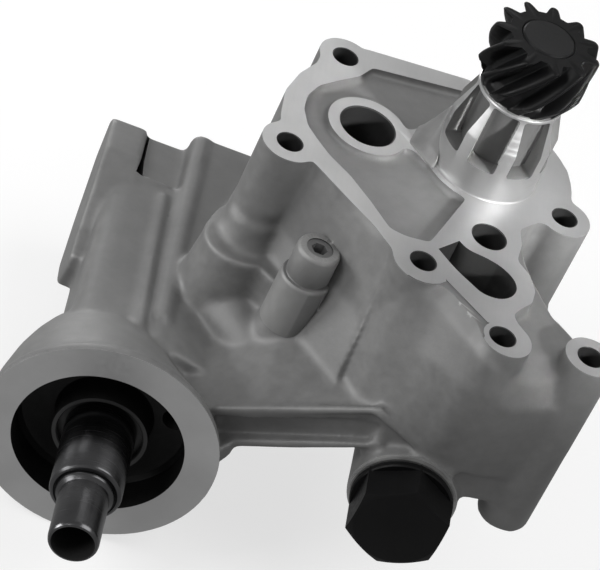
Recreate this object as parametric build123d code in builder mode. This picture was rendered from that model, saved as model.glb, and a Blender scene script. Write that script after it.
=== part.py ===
from build123d import *
import math
import os

# Gear-driven engine oil pump with a spin-on filter mount.
# Frame: origin where the drive shaft axis meets the machined mounting flange,
# +Z out of the flange towards the drive gear, -Y towards the oil filter. Millimetres.

os.makedirs("parts", exist_ok=True)

# ---------------------------------------------------------------- driving dimensions
# flange bolt pattern (through holes along Z)
H1 = (-53.7, 30.0)
H2 = (-66.6, -26.1)
H3 = (30.5, -12.3)
H4 = (-15.6, -61.0)
H5 = (14.2, -83.6)
H6 = (44.5, -77.8)
BOLT_D = 9.0
BOLT_HOLES = ((H1, 38.0), (H2, 36.5), (H3, 35.0), (H4, 33.5), (H5, 32.0))    # clearance for M8 bolts, drill points below
DRAIN = (5.3, -36.7)    # oil drain hole beside the inlet port
DRAIN_D = 12.0
OUTLET = (-41.7, -2.8)  # delivery port to the engine gallery
OUTLET_D = 19.4
OUTLET_RIM_R = 14.2
INLET = [(-11.2, -52.2), (-4.6, -44.3), (-0.8, -47.0), (6.4, -48.2), (11.6, -50.2), (15.6, -53.9),
         (16.9, -58.6), (15.0, -63.2), (11.0, -66.0), (5.6, -66.0), (0.9, -63.0), (-4.9, -58.6)]
INLET_DEPTH = 44.0
RECESS = 2.4            # as-cast floor below the machined land
LEVEL = -40.0           # underside of the flange section
BASE = -70.0            # rotor cover joint face
FRONT = -90.0           # front wall of the body

# pilot tower
PILOT_R = 18.7
PILOT_H = 20.0
FOOT_R = 21.8
COLLAR_R = 15.1
COLLAR_Z = 30.8
TOWER_TOP = 32.6
CORE_R = 12.4
WINDOW_Z = 11.2
WINDOW_TOP = 30.2
WINDOWS = 8
WINDOW_AT = -104.0
WINDOW_W = 10.1
BRACE_FROM = 162.0
BRACE_ARC = 48.0

# shaft, gear and rotors
SHAFT_R = 8.0
GEAR_SEAT_R = 9.2
SHAFT_TOP = 57.3
SHAFT_BOTTOM = -67.6
GEAR_Z0 = 34.4
GEAR_Z1 = 57.0
GEAR_TEETH = 11
GEAR_TIP_R = 18.6
GEAR_ROOT_R = 13.6
GEAR_HUB_R = 14.9
GEAR_TWIST = 50.0       # degrees over the toothed length
CHAMBER_R = 29.1
CHAMBER_TOP = -46.0
ECC = 2.6
LOBES = 5
LOBE_A = 24.0
LOBE_S = 8.2
ROTOR_GAP = 0.10
ROTOR_Z0 = BASE + 0.06
ROTOR_Z1 = CHAMBER_TOP - 0.06
HOUSING_R = 38.6
COVER_T = 9.0
COVER_BOLT_R = 35.8
COVER_BOLT_ANGLES = (25.0, 85.0, 145.0, 205.0, 265.0, 325.0)
DOWEL_ANGLES = (55.0, 235.0)
EAR_R = 5.8
SEAL_R = 31.2

# filter mount
MOUNT = (-92.6, -85.0)  # X, Z of the filter axis
RING_Y = -103.0
RING_RO = 40.4
RING_RI = 28.8
CUP_DEPTH = 15.0
BOSS_RO = 15.9
BOSS_RI = 13.2
BOSS_Y = -99.0
STUD_BIG_R = 12.0
STUD_R = 8.4
STUD_BORE_R = 7.1
SHOULDER_Y = -128.0
STUD_END_Y = -151.4

# relief valve
VALVE = (8.2, -71.5)    # X, Z of the relief valve axis
VALVE_BOSS_R = 17.6
VALVE_FACE = -92.0
VALVE_END = -43.5
VALVE_BORE_R = 8.0
PLUNGER_R = 7.95
HEX_AF = 30.0
HEX_H = 14.8
WASHER_R = 17.8
WASHER_T = 1.6


def ring_points(cx, cy, r, degs):
    return [(cx + r * math.cos(math.radians(d)), cy + r * math.sin(math.radians(d))) for d in degs]


# ---------------------------------------------------------------- main casting
# plan outline of the flange and of the walls below it
OUTLINE = [(-9.0, 43.0), (-47.0, 38.4), (-62.4, 25.0), (-62.8, 21.4), (-68.1, 11.8), (-71.7, 0.0),
           (-71.6, -13.9), (-66.6, -35.0), (-58.2, -31.2), (-45.2, -42.7), (-33.5, -52.1), (-25.0, -62.6),
           (-20.0, -71.0), (-7.5, -67.0), (6.0, -78.0), (10.0, -92.5), (31.0, -92.0), (41.0, -86.5),
           (38.5, -66.0), (31.2, -55.4), (20.8, -31.0), (22.4, -17.0), (30.5, -2.8), (31.9, 0.0), (29.9, 12.7),
           (24.4, 20.9), (14.0, 29.5)]

# cross-sections of the lower body, (Y, Z): back foot, back top, wall foot, front ridge, front foot
SECTIONS = [
    (-74.0, [(39.0, -100.0), (39.0, -70.0), (-36.0, -69.0), (-88.0, -73.0), (-88.0, -85.0)]),
    (-47.0, [(39.0, -84.0), (39.0, -62.0), (-44.0, -47.0), (-89.0, -59.3), (-89.0, -77.6)]),
    (-11.0, [(39.0, -70.0), (39.0, -42.0), (-66.0, -37.0), (-86.0, -45.6), (-86.0, -64.0)]),
    (18.0, [(39.0, -70.0), (39.0, -42.0), (-80.0, -38.0), (-90.0, -53.0), (-90.0, -67.0)]),
    (42.0, [(-2.0, -70.0), (-2.0, -42.0), (-78.0, -38.0), (-84.5, -46.0), (-84.5, -67.0)]),
]

# belly and wall sections, (Y, Z): back foot, back top, front top, knee, front foot
BELLY = [
    (-27.0, [(-50.0, -50.0), (-50.0, -6.0), (-62.0, -6.0), (-66.5, -26.0), (-72.0, -50.0)]),
    (-19.0, [(-50.0, -60.0), (-50.0, -0.8), (-71.0, -0.8), (-76.5, -22.0), (-84.0, -52.0)]),
    (-7.0, [(-50.0, -60.0), (-50.0, -0.8), (-70.5, -0.8), (-79.0, -20.0), (-86.6, -47.0)]),
    (4.6, [(-50.0, -60.0), (-50.0, -0.8), (-85.6, -0.8), (-89.8, -18.0), (-89.6, -50.0)]),
    (9.0, [(-50.0, -60.0), (-50.0, -0.8), (-92.6, -0.8), (-93.6, -18.0), (-91.2, -51.0)]),
    (14.6, [(-50.0, -60.0), (-50.0, -0.8), (-94.0, -0.8), (-94.8, -18.0), (-92.0, -53.0)]),
    (24.0, [(-50.0, -60.0), (-50.0, -6.0), (-92.4, -6.0), (-93.4, -18.0), (-90.4, -54.0)]),
    (42.0, [(-66.0, -60.0), (-66.0, -6.0), (-84.0, -6.0), (-86.0, -18.0), (-85.0, -52.0)]),
]
SKIRT = [
    (-61.0, [(-20.0, -56.0), (-20.0, -6.0), (-29.5, -6.0), (-31.5, -30.0), (-36.0, -58.0)]),
    (-47.0, [(-20.0, -50.0), (-20.0, -1.0), (-41.0, -1.0), (-44.5, -28.0), (-50.0, -48.0)]),
    (-26.0, [(-20.0, -50.0), (-20.0, -1.0), (-61.0, -1.0), (-66.5, -26.0), (-74.0, -46.0)]),
]

with BuildPart() as pump_housing:
    # flange section: land, bolt bosses and walls
    with BuildSketch(Plane.XY.offset(LEVEL)):
        with BuildLine():
            Polyline(*OUTLINE, close=True)
        make_face()
        for (hx, hy), hr in ((H1, 9.5), (H2, 9.8), (H3, 9.3), (H4, 10.6), (H5, 10.2), (H6, 9.0)):
            with Locations((hx, hy)):
                Circle(hr)
        with Locations((0, 0)):
            Circle(32.1)
    extrude(amount=-LEVEL)
    # lower body between the valve block, the rotor housing and the filter mount
    for x, pts in SECTIONS:
        with BuildSketch(Plane.YZ.offset(x)):
            with BuildLine():
                Polyline(*pts, close=True)
            make_face()
    loft(ruled=True)
    # belly of the inlet chamber below H4 and H5, drafted outwards from the land
    for x, pts in BELLY:
        with BuildSketch(Plane.YZ.offset(x)):
            with BuildLine():
                Polyline(*pts, close=True)
            make_face()
    loft(ruled=True)
    # drafted wall below the diagonal rim
    for x, pts in SKIRT:
        with BuildSketch(Plane.YZ.offset(x)):
            with BuildLine():
                Polyline(*pts, close=True)
            make_face()
    loft(ruled=True)
    # rotor housing drum
    with BuildSketch(Plane.XY.offset(BASE)):
        with Locations((ECC, 0)):
            Circle(HOUSING_R)
    extrude(amount=LEVEL - BASE + 4)
    with BuildSketch(Plane.XY.offset(BASE)):
        for a in COVER_BOLT_ANGLES + DOWEL_ANGLES:
            with Locations(ring_points(ECC, 0, COVER_BOLT_R, (a,))[0]):
                Circle(EAR_R)
    extrude(amount=16.0)
    # wall of the delivery side, from the flange down to the duct block
    with BuildSketch(Plane.XY.offset(-84.0)):
        with BuildLine():
            Polyline((-30.0, 40.0), (-50.0, 37.5), (-63.5, 26.0), (-71.0, 8.0), (-75.0, -12.0), (-78.0, -30.0), (-60.0, -34.0),
                     (-45.0, -42.0), (-30.0, -50.0), (-20.0, 0.0), close=True)
        make_face()
    extrude(amount=84.0 + LEVEL)
    # lower bosses under H1, H2 and H6
    with BuildSketch(Plane.XY.offset(-84.0)):
        with Locations(H1):
            Circle(9.5)
    extrude(amount=84.0 + LEVEL)
    with BuildSketch(Plane.XY.offset(-84.0)):
        with Locations((-68.0, -33.0)):
            Circle(13.4)
    extrude(amount=84.0 + LEVEL)
    with BuildSketch(Plane.XY.offset(-76.0)):
        with Locations((44.2, -77.8)):
            Circle(9.2)
    extrude(amount=76.0 + LEVEL + 1)
    # filter duct: rounded box section along Y, with the cross gallery blocks behind it
    with BuildSketch(Plane.XZ.offset(-6.0)):
        with BuildLine():
            Polyline((-114.8, -96.0), *ring_points(-103.3, -77.0, 11.5, (180, 165, 150, 135, 120, 105, 90)), (-84.0, -64.8),
                     (-72.0, -70.0), (-66.0, -76.0), (-66.0, -104.0), (-80.0, -110.0), (-104.0, -110.0), close=True)
        make_face()
    extrude(amount=94.0)
    with BuildSketch(Plane.XY.offset(-106.0)):
        with Locations((-83.5, 11.0)):
            Rectangle(45.0, 48.0)
    extrude(amount=106.0 - 68.5)
    with BuildSketch(Plane.XY.offset(-104.0)):
        with Locations((-77.5, 13.5)):
            Rectangle(18.0, 57.0)
    extrude(amount=104.0 - 62.5)
    with BuildSketch(Plane.XZ.offset(-42.0)):
        with Locations((-84.8, -66.6)):
            Circle(4.2)
    extrude(amount=96.0)
    with BuildSketch(Plane.XZ.offset(54.0)):
        with Locations((-84.8, -66.6)):
            Circle(4.2)
    with BuildSketch(Plane.XZ.offset(70.0)):
        with Locations((-84.2, -68.2)):
            Circle(1.6)
    loft()
    # side pad facing -X, with a slot between it and the block
    with BuildSketch(Plane.YZ.offset(-118.2)):
        with BuildLine():
            Polyline((31.0, -61.5), (26.0, -80.0), (12.0, -95.0), (-6.0, -103.0), (-18.0, -99.0), (-31.0, -84.0),
                     (-31.0, -78.0), (-16.0, -76.0), (2.0, -66.5), (16.0, -61.5), close=True)
        make_face()
    extrude(amount=13.6)
    with BuildSketch(Plane.XY.offset(-86.0)):
        with Locations((-103.6, 22.0)):
            Rectangle(2.4, 26.0)
    extrude(amount=86.0 - 60.0, mode=Mode.SUBTRACT)
    # filter mount bowl
    with BuildSketch(Plane((MOUNT[0], 0, MOUNT[1]))):
        with BuildLine():
            Polyline((0, RING_Y), (RING_RO, RING_Y), (RING_RO, -96.5), (39.8, -93.0), (38.0, -90.0), (34.5, -87.0),
                     (29.0, -84.5), (0, -80.0), close=True)
        make_face()
    revolve(axis=Axis((MOUNT[0], 0, MOUNT[1]), (0, 1, 0)))
    with BuildSketch(Plane.XZ.offset(88.0)):
        with Locations((MOUNT[0] + 24.0, MOUNT[1] + 7.0)):
            Rectangle(32.0, 30.0)
    extrude(amount=6.0)
    # relief valve boss
    with BuildSketch(Plane.XZ.offset(-VALVE_END)):
        with Locations(VALVE):
            Circle(VALVE_BOSS_R)
    extrude(amount=VALVE_END - VALVE_FACE)
    # cast boss of the gallery plug
    with BuildSketch(Plane.XY.offset(-64.0)):
        with Locations((-46.4, -52.4)):
            Circle(8.3)
    extrude(amount=64.0 - 31.0)
    with BuildSketch(Plane.XY.offset(-31.0)):
        with Locations((-46.4, -52.4)):
            Circle(7.3)
    extrude(amount=14.4)

    # pilot tower
    with BuildSketch(Plane.XZ):
        with BuildLine():
            Polyline((0, -8.0), (FOOT_R, -8.0), (FOOT_R, 0.0), (PILOT_R + 1.0, 0.0), (PILOT_R, 1.0), (PILOT_R, PILOT_H),
                     (COLLAR_R, COLLAR_Z), (COLLAR_R, TOWER_TOP - 0.8), (COLLAR_R - 0.8, TOWER_TOP), (0, TOWER_TOP),
                     close=True)
        make_face()
    revolve(axis=Axis.Z)
    # flared brace between the delivery port rim and the tower
    with BuildSketch(Plane(origin=(0, 0, 0), x_dir=(math.cos(math.radians(BRACE_FROM)), math.sin(math.radians(BRACE_FROM)), 0),
                           z_dir=(math.sin(math.radians(BRACE_FROM)), -math.cos(math.radians(BRACE_FROM)), 0))):
        with BuildLine():
            Polyline((16.0, -3.0), (31.0, -3.0), (31.0, 0.0), (27.0, 1.2), (24.0, 3.8), (22.0, 7.5), (20.4, 12.5), (19.4, 17.5),
                     (16.0, 18.5), close=True)
        make_face()
    revolve(axis=Axis.Z, revolution_arc=BRACE_ARC)

    # recessed as-cast floor inside the land, leaving the port rim, web and tower foot proud
    with BuildSketch(Plane.XY):
        with BuildLine():
            Polyline((-4.0, 36.8), (-26.6, 32.5), (-43.6, 29.4), (-47.5, 22.3), (-54.1, 16.1), (-60.5, 9.4), (-63.9, 1.7),
                     (-64.3, -5.9), (-61.9, -14.0), (-57.5, -19.8), (-52.6, -25.3), (-44.7, -31.7), (-36.6, -40.6),
                     (-28.4, -50.9), (-22.5, -51.9), (-14.3, -50.5), (-4.5, -22.0), (-10.0, 18.0), (8.0, 27.0), (4.0, 35.0),
                     close=True)
        make_face()
        with Locations(OUTLET):
            Circle(OUTLET_RIM_R, mode=Mode.SUBTRACT)
        with BuildLine():
            Polyline((-31.0, 2.0), (-23.0, 5.5), (-17.0, 9.0), (-15.0, -14.0), (-22.0, -10.4), (-28.0, -9.0), close=True)
        make_face(mode=Mode.SUBTRACT)
        with Locations((0, 0)):
            Circle(FOOT_R, mode=Mode.SUBTRACT)
    extrude(amount=-RECESS, mode=Mode.SUBTRACT)
    # lower apron between the inlet rim, H5 and H6
    with BuildSketch(Plane.XY):
        with BuildLine():
            Polyline((17.0, -29.0), (17.6, -34.7), (16.6, -43.3), (20.6, -48.8), (23.4, -55.0), (23.0, -61.8),
                     (19.6, -67.6), (21.5, -72.0), (24.4, -78.0), (24.0, -86.0), (17.0, -95.5), (34.0, -96.0), (50.0, -90.0),
                     (50.0, -60.0), (22.5, -25.0), close=True)
        make_face()
        with Locations(H6):
            Circle(8.9, mode=Mode.SUBTRACT)
        with Locations(H5):
            Circle(9.9, mode=Mode.SUBTRACT)
        with Locations(H3):
            Circle(9.3, mode=Mode.SUBTRACT)
    extrude(amount=-6.0, mode=Mode.SUBTRACT)
    # deep relief beside H3
    with BuildSketch(Plane.XY):
        with BuildLine():
            Polyline((20.5, -22.5), (21.5, -34.0), (25.5, -44.0), (29.4, -51.5), (33.0, -58.0), (60.0, -58.0), (60.0, -24.0),
                     (30.0, -20.0), close=True)
        make_face()
        with Locations(H3):
            Circle(9.2, mode=Mode.SUBTRACT)
    extrude(amount=-37.0, mode=Mode.SUBTRACT)

    # machined port and bolt bores
    for (hx, hy), deep in BOLT_HOLES:
        with Locations((hx, hy, 0)):
            Hole(BOLT_D / 2, depth=deep)
        with Locations((hx, hy, -deep)):
            Cone(0.4, BOLT_D / 2, 2.4, align=(Align.CENTER, Align.CENTER, Align.MAX), mode=Mode.SUBTRACT)
    with Locations((*H6, 0)):
        Hole(BOLT_D / 2, depth=120)
    with Locations((*DRAIN, 0)):
        Hole(DRAIN_D / 2, depth=41)
    with BuildSketch(Plane.XY):
        with BuildLine():
            Polyline(*INLET, close=True)
        make_face()
    extrude(amount=-INLET_DEPTH, mode=Mode.SUBTRACT)
    with Locations((*OUTLET, 0)):
        Hole(OUTLET_D / 2, depth=66)

    # tower windows, shaft bore and upper bush seat
    with BuildSketch(Plane.XY.offset(WINDOW_Z)):
        with PolarLocations(0, WINDOWS, start_angle=WINDOW_AT):
            with Locations((20.0, 0)):
                Rectangle(16.0, WINDOW_W)
        Circle(CORE_R, mode=Mode.SUBTRACT)
    extrude(amount=WINDOW_TOP - WINDOW_Z, mode=Mode.SUBTRACT)
    with Locations((0, 0, TOWER_TOP)):
        Hole(SHAFT_R + 2.0, depth=24.0)
    with Locations((0, 0, TOWER_TOP)):
        Hole(SHAFT_R + 1.0, depth=120)

    # rotor chamber with inlet and delivery port pockets in its roof
    with BuildSketch(Plane.XY.offset(BASE)):
        with Locations((ECC, 0)):
            Circle(CHAMBER_R)
    extrude(amount=CHAMBER_TOP - BASE, mode=Mode.SUBTRACT)
    with BuildSketch(Plane.XY.offset(CHAMBER_TOP)):
        with BuildLine():
            Polyline(*ring_points(0, 0, 22.5, range(-150, -29, 10)), *ring_points(0, 0, 13.5, range(-30, -151, -10)),
                     close=True)
        make_face()
    extrude(amount=6.0, mode=Mode.SUBTRACT)
    with BuildSketch(Plane.XY.offset(CHAMBER_TOP)):
        with BuildLine():
            Polyline(*ring_points(0, 0, 22.5, range(30, 151, 10)), *ring_points(0, 0, 13.5, range(150, 29, -10)),
                     close=True)
        make_face()
    extrude(amount=6.0, mode=Mode.SUBTRACT)
    with BuildSketch(Plane.XY.offset(CHAMBER_TOP)):
        with Locations((2.0, -34.0)):
            Rectangle(16.0, 36.0)
    extrude(amount=6.0, mode=Mode.SUBTRACT)
    # delivery gallery: roof pocket to the cup feed drilling
    with BuildSketch(Plane.YZ.offset(-58.0)):
        with Locations((14.0, -41.2)):
            Circle(4.8)
    extrude(amount=45.5, mode=Mode.SUBTRACT)
    with BuildSketch(Plane.XY.offset(-77.0)):
        with Locations((-58.0, 14.0)):
            Circle(4.8)
    extrude(amount=38.0, mode=Mode.SUBTRACT)
    with BuildSketch(Plane.YZ.offset(MOUNT[0] + 22.3)):
        with Locations((14.0, MOUNT[1] + 8.0)):
            Circle(4.5)
    extrude(amount=12.3, mode=Mode.SUBTRACT)
    # pilot drilling from the delivery well to the nose of the relief valve
    with BuildSketch(Plane(origin=(-41.7, -2.8, -52.4), x_dir=(0, 0, 1), z_dir=(49.9, -48.4, 0))):
        Circle(2.3)
    extrude(amount=69.0, mode=Mode.SUBTRACT)
    with BuildSketch(Plane.XY.offset(VALVE[1])):
        with Locations((VALVE[0], -51.3)):
            Circle(2.3)
    extrude(amount=19.6, mode=Mode.SUBTRACT)
    # clear space round the rotor cover
    with BuildSketch(Plane.XY.offset(-130.0)):
        with Locations((ECC, 0)):
            Circle(HOUSING_R)
        for a in COVER_BOLT_ANGLES + DOWEL_ANGLES:
            with Locations(ring_points(ECC, 0, COVER_BOLT_R, (a,))[0]):
                Circle(7.0)
    extrude(amount=130.0 + BASE, mode=Mode.SUBTRACT)
    # groove for the cover seal, cover screw holes and dowel holes
    with BuildSketch(Plane.XY.offset(BASE)):
        with Locations((ECC, 0)):
            Circle(SEAL_R + 0.7)
            Circle(SEAL_R - 0.7, mode=Mode.SUBTRACT)
    extrude(amount=1.3, mode=Mode.SUBTRACT)
    with BuildSketch(Plane.XY.offset(BASE)):
        for a in COVER_BOLT_ANGLES:
            with Locations(ring_points(ECC, 0, COVER_BOLT_R, (a,))[0]):
                Circle(3.0)
        for a in DOWEL_ANGLES:
            with Locations(ring_points(ECC, 0, COVER_BOLT_R, (a,))[0]):
                Circle(2.5)
    extrude(amount=14.0, mode=Mode.SUBTRACT)
    # seat of the lower shaft bush
    with BuildSketch(Plane.XY.offset(CHAMBER_TOP)):
        Circle(SHAFT_R + 2.0)
    extrude(amount=16.0, mode=Mode.SUBTRACT)

    # filter mount: cup, stud boss, inlet drillings, centre return gallery
    with BuildSketch(Plane.XZ.offset(-RING_Y)):
        with Locations(MOUNT):
            Circle(RING_RI)
            Circle(BOSS_RO, mode=Mode.SUBTRACT)
    extrude(amount=-CUP_DEPTH, mode=Mode.SUBTRACT)
    with BuildSketch(Plane.XZ.offset(-RING_Y)):
        with Locations(MOUNT):
            Circle(BOSS_RO + 0.1)
    extrude(amount=-(BOSS_Y - RING_Y), mode=Mode.SUBTRACT)
    with BuildSketch(Plane.XZ.offset(-BOSS_Y)):
        with Locations(MOUNT):
            Circle(BOSS_RI)
    extrude(amount=-3.0, mode=Mode.SUBTRACT)
    with BuildSketch(Plane.XZ.offset(-BOSS_Y - 3.0)):
        with Locations(MOUNT):
            Circle(9.0)
    extrude(amount=-20.0, mode=Mode.SUBTRACT)
    with BuildSketch(Plane.XZ.offset(-BOSS_Y - 20.0)):
        with Locations(MOUNT):
            Circle(7.0)
    extrude(amount=-104.0, mode=Mode.SUBTRACT)
    # return drilling from the filter centre to the delivery port, and the feed drilling to the cup
    with BuildSketch(Plane(origin=(MOUNT[0], OUTLET[1], MOUNT[1]), x_dir=(0, 1, 0), z_dir=(OUTLET[0] - MOUNT[0], 0, 28.0))):
        Circle(6.0)
    extrude(amount=58.0, mode=Mode.SUBTRACT)
    with BuildSketch(Plane.XZ.offset(90.0)):
        with Locations((MOUNT[0] + 22.3, MOUNT[1] + 8.0)):
            Circle(4.5)
    extrude(amount=-104.0, mode=Mode.SUBTRACT)
    # seat of the duct end plug
    with BuildSketch(Plane.XZ.offset(-36.0)):
        with Locations(MOUNT):
            Circle(9.0)
    extrude(amount=13.0, mode=Mode.SUBTRACT)
    # relief valve bore, plug thread bore and spill port up to the inlet
    with BuildSketch(Plane.XZ.offset(-VALVE_FACE)):
        with Locations(VALVE):
            Circle(11.0)
    extrude(amount=-14.0, mode=Mode.SUBTRACT)
    with BuildSketch(Plane.XZ.offset(-VALVE_FACE)):
        with Locations(VALVE):
            Circle(VALVE_BORE_R)
    extrude(amount=-(-54.4 - VALVE_FACE), mode=Mode.SUBTRACT)
    with BuildSketch(Plane.XZ.offset(56.0)):
        with Locations(VALVE):
            Circle(5.2)
    extrude(amount=-7.6, mode=Mode.SUBTRACT)
    with BuildSketch(Plane.XY.offset(VALVE[1])):
        with Locations((VALVE[0], -60.0)):
            Circle(5.0)
    extrude(amount=30.0, mode=Mode.SUBTRACT)
    # channel along the gallery wall between the filter mount and the valve block
    with BuildSketch(Plane.XZ.offset(96.0)):
        with BuildLine():
            Polyline((-60.0, -68.6), (-14.0, -49.6), (-7.0, -49.4), (-9.5, -58.6), (-16.5, -61.4), (-58.0, -79.0),
                     close=True)
        make_face()
    extrude(amount=-12.0, mode=Mode.SUBTRACT)
    # threaded seat of the gallery plug
    with Locations((-46.4, -52.4, -16.6)):
        Hole(4.6, depth=16.0)
pump_housing.part.label = "pump_housing"
export_step(pump_housing.part, "parts/pump_housing.step")


# ---------------------------------------------------------------- drive shaft assembly
with BuildPart() as drive_shaft:
    with BuildSketch(Plane.XZ):
        with BuildLine():
            Polyline((0, SHAFT_BOTTOM), (SHAFT_R - 0.8, SHAFT_BOTTOM), (SHAFT_R, SHAFT_BOTTOM + 0.8), (SHAFT_R, 34.35),
                     (GEAR_SEAT_R, 34.35), (GEAR_SEAT_R, SHAFT_TOP - 0.6), (GEAR_SEAT_R - 0.6, SHAFT_TOP), (0, SHAFT_TOP),
                     close=True)
        make_face()
    revolve(axis=Axis.Z)
    with BuildSketch(Plane.YZ.offset(-20.0)):
        with Locations((0, 37.0)):
            Circle(2.0)
        with Locations((0, -49.2)):
            Circle(2.5)
    extrude(amount=40.0, mode=Mode.SUBTRACT)
drive_shaft.part.label = "drive_shaft"
export_step(drive_shaft.part, "parts/drive_shaft.step")

# helical gear, right hand, with a plain hub below the teeth
def gear_section(turn, tip):
    pts = []
    step = 360.0 / GEAR_TEETH
    for i in range(GEAR_TEETH):
        a = i * step + turn
        pts += ring_points(0, 0, GEAR_ROOT_R, (a - 0.36 * step,))
        pts += ring_points(0, 0, GEAR_ROOT_R + 0.42 * (tip - GEAR_ROOT_R), (a - 0.25 * step,))
        pts += ring_points(0, 0, tip, (a - 0.10 * step, a + 0.10 * step))
        pts += ring_points(0, 0, GEAR_ROOT_R + 0.42 * (tip - GEAR_ROOT_R), (a + 0.25 * step,))
        pts += ring_points(0, 0, GEAR_ROOT_R, (a + 0.36 * step,))
    return pts


GEAR_STEPS = 8
GEAR_PHASE = 22.8
with BuildPart() as drive_gear:
    for k in range(GEAR_STEPS + 1):
        f = k / GEAR_STEPS
        z = GEAR_Z0 + 2.6 + f * (GEAR_Z1 - GEAR_Z0 - 2.6)
        with BuildSketch(Plane.XY.offset(z)):
            with BuildLine():
                Polyline(*gear_section(GEAR_PHASE - GEAR_TWIST * (1 - f), GEAR_TIP_R), close=True)
            make_face()
    loft(ruled=True)
    # turned envelope: tapered run-out of the teeth at the lower end, edge break at the top
    with BuildSketch(Plane.XZ):
        with BuildLine():
            Polyline((0, GEAR_Z0), (GEAR_HUB_R, GEAR_Z0), (GEAR_TIP_R, GEAR_Z0 + 6.5), (GEAR_TIP_R, GEAR_Z1 - 0.7),
                     (GEAR_TIP_R - 0.7, GEAR_Z1), (0, GEAR_Z1), close=True)
        make_face()
    revolve(axis=Axis.Z, mode=Mode.INTERSECT)
    with BuildSketch(Plane.XZ):
        with BuildLine():
            Polyline((0, GEAR_Z0), (GEAR_HUB_R - 0.6, GEAR_Z0), (GEAR_HUB_R, GEAR_Z0 + 0.6), (GEAR_HUB_R, GEAR_Z0 + 3.4),
                     (GEAR_ROOT_R, GEAR_Z0 + 6.2), (0, GEAR_Z0 + 6.2), close=True)
        make_face()
    revolve(axis=Axis.Z)
    with Locations((0, 0, GEAR_Z1)):
        Hole(GEAR_SEAT_R + 0.02, depth=40.0)
    with BuildSketch(Plane.YZ.offset(-20.0)):
        with Locations((0, 37.0)):
            Circle(2.0)
    extrude(amount=40.0, mode=Mode.SUBTRACT)
drive_gear.part.label = "drive_gear"
export_step(drive_gear.part, "parts/drive_gear.step")

with BuildPart() as gear_pin:
    with BuildSketch(Plane.YZ.offset(-14.2)):
        with Locations((0, 37.0)):
            Circle(1.98)
            Circle(1.0, mode=Mode.SUBTRACT)
    extrude(amount=28.4)
gear_pin.part.label = "gear_pin"
export_step(gear_pin.part, "parts/gear_pin.step")

with BuildPart() as thrust_washer:
    with BuildSketch(Plane.XY.offset(TOWER_TOP + 0.02)):
        Circle(14.0)
        Circle(SHAFT_R + 0.1, mode=Mode.SUBTRACT)
    extrude(amount=1.6)
thrust_washer.part.label = "thrust_washer"
export_step(thrust_washer.part, "parts/thrust_washer.step")

with BuildPart() as upper_bush:
    with BuildSketch(Plane.XY.offset(TOWER_TOP - 23.8)):
        Circle(SHAFT_R + 1.98)
        Circle(SHAFT_R + 0.04, mode=Mode.SUBTRACT)
    extrude(amount=23.6)
upper_bush.part.label = "upper_bush"
export_step(upper_bush.part, "parts/upper_bush.step")

with BuildPart() as lower_bush:
    with BuildSketch(Plane.XY.offset(CHAMBER_TOP + 0.2)):
        Circle(SHAFT_R + 1.98)
        Circle(SHAFT_R + 0.04, mode=Mode.SUBTRACT)
    extrude(amount=15.6)
lower_bush.part.label = "lower_bush"
export_step(lower_bush.part, "parts/lower_bush.step")

# ---------------------------------------------------------------- trochoid rotor set
def inner_profile(count, gap):
    pts = []
    for i in range(count):
        t = 2 * math.pi * i / count
        x = LOBE_A * math.cos(t) + ECC * math.cos(LOBES * t)
        y = LOBE_A * math.sin(t) + ECC * math.sin(LOBES * t)
        dx = -LOBE_A * math.sin(t) - ECC * LOBES * math.sin(LOBES * t)
        dy = LOBE_A * math.cos(t) + ECC * LOBES * math.cos(LOBES * t)
        n = math.hypot(dx, dy)
        pts.append((x - (LOBE_S + gap) * dy / n, y + (LOBE_S + gap) * dx / n))
    return pts


with BuildPart() as inner_rotor:
    with BuildSketch(Plane.XY.offset(ROTOR_Z0)):
        with BuildLine():
            Spline(*inner_profile(120, ROTOR_GAP), periodic=True)
        make_face()
        Circle(SHAFT_R + 0.02, mode=Mode.SUBTRACT)
    extrude(amount=ROTOR_Z1 - ROTOR_Z0)
    with BuildSketch(Plane.XY.offset(ROTOR_Z1)):
        Rectangle(23.6, 5.1)
    extrude(amount=-5.8, mode=Mode.SUBTRACT)
inner_rotor.part.label = "inner_rotor"
export_step(inner_rotor.part, "parts/inner_rotor.step")

with BuildPart() as rotor_pin:
    with BuildSketch(Plane.YZ.offset(-11.5)):
        with Locations((0, -49.2)):
            Circle(2.48)
    extrude(amount=23.0)
rotor_pin.part.label = "rotor_pin"
export_step(rotor_pin.part, "parts/rotor_pin.step")

with BuildPart() as outer_rotor:
    with BuildSketch(Plane.XY.offset(ROTOR_Z0)):
        with Locations((ECC, 0)):
            Circle(CHAMBER_R - 0.10)
            Circle(LOBE_A + 2 * ECC - LOBE_S + 0.25, mode=Mode.SUBTRACT)
        with Locations(*ring_points(ECC, 0, LOBE_A, [i * 360.0 / LOBES for i in range(LOBES)])):
            Circle(LOBE_S)
        with Locations((ECC, 0)):
            Circle(CHAMBER_R + 20.0, mode=Mode.PRIVATE)
    extrude(amount=ROTOR_Z1 - ROTOR_Z0)
    with BuildSketch(Plane.XY.offset(ROTOR_Z0)):
        with Locations((ECC, 0)):
            Circle(CHAMBER_R - 0.10)
    extrude(amount=ROTOR_Z1 - ROTOR_Z0, mode=Mode.INTERSECT)
outer_rotor.part.label = "outer_rotor"
export_step(outer_rotor.part, "parts/outer_rotor.step")

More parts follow.
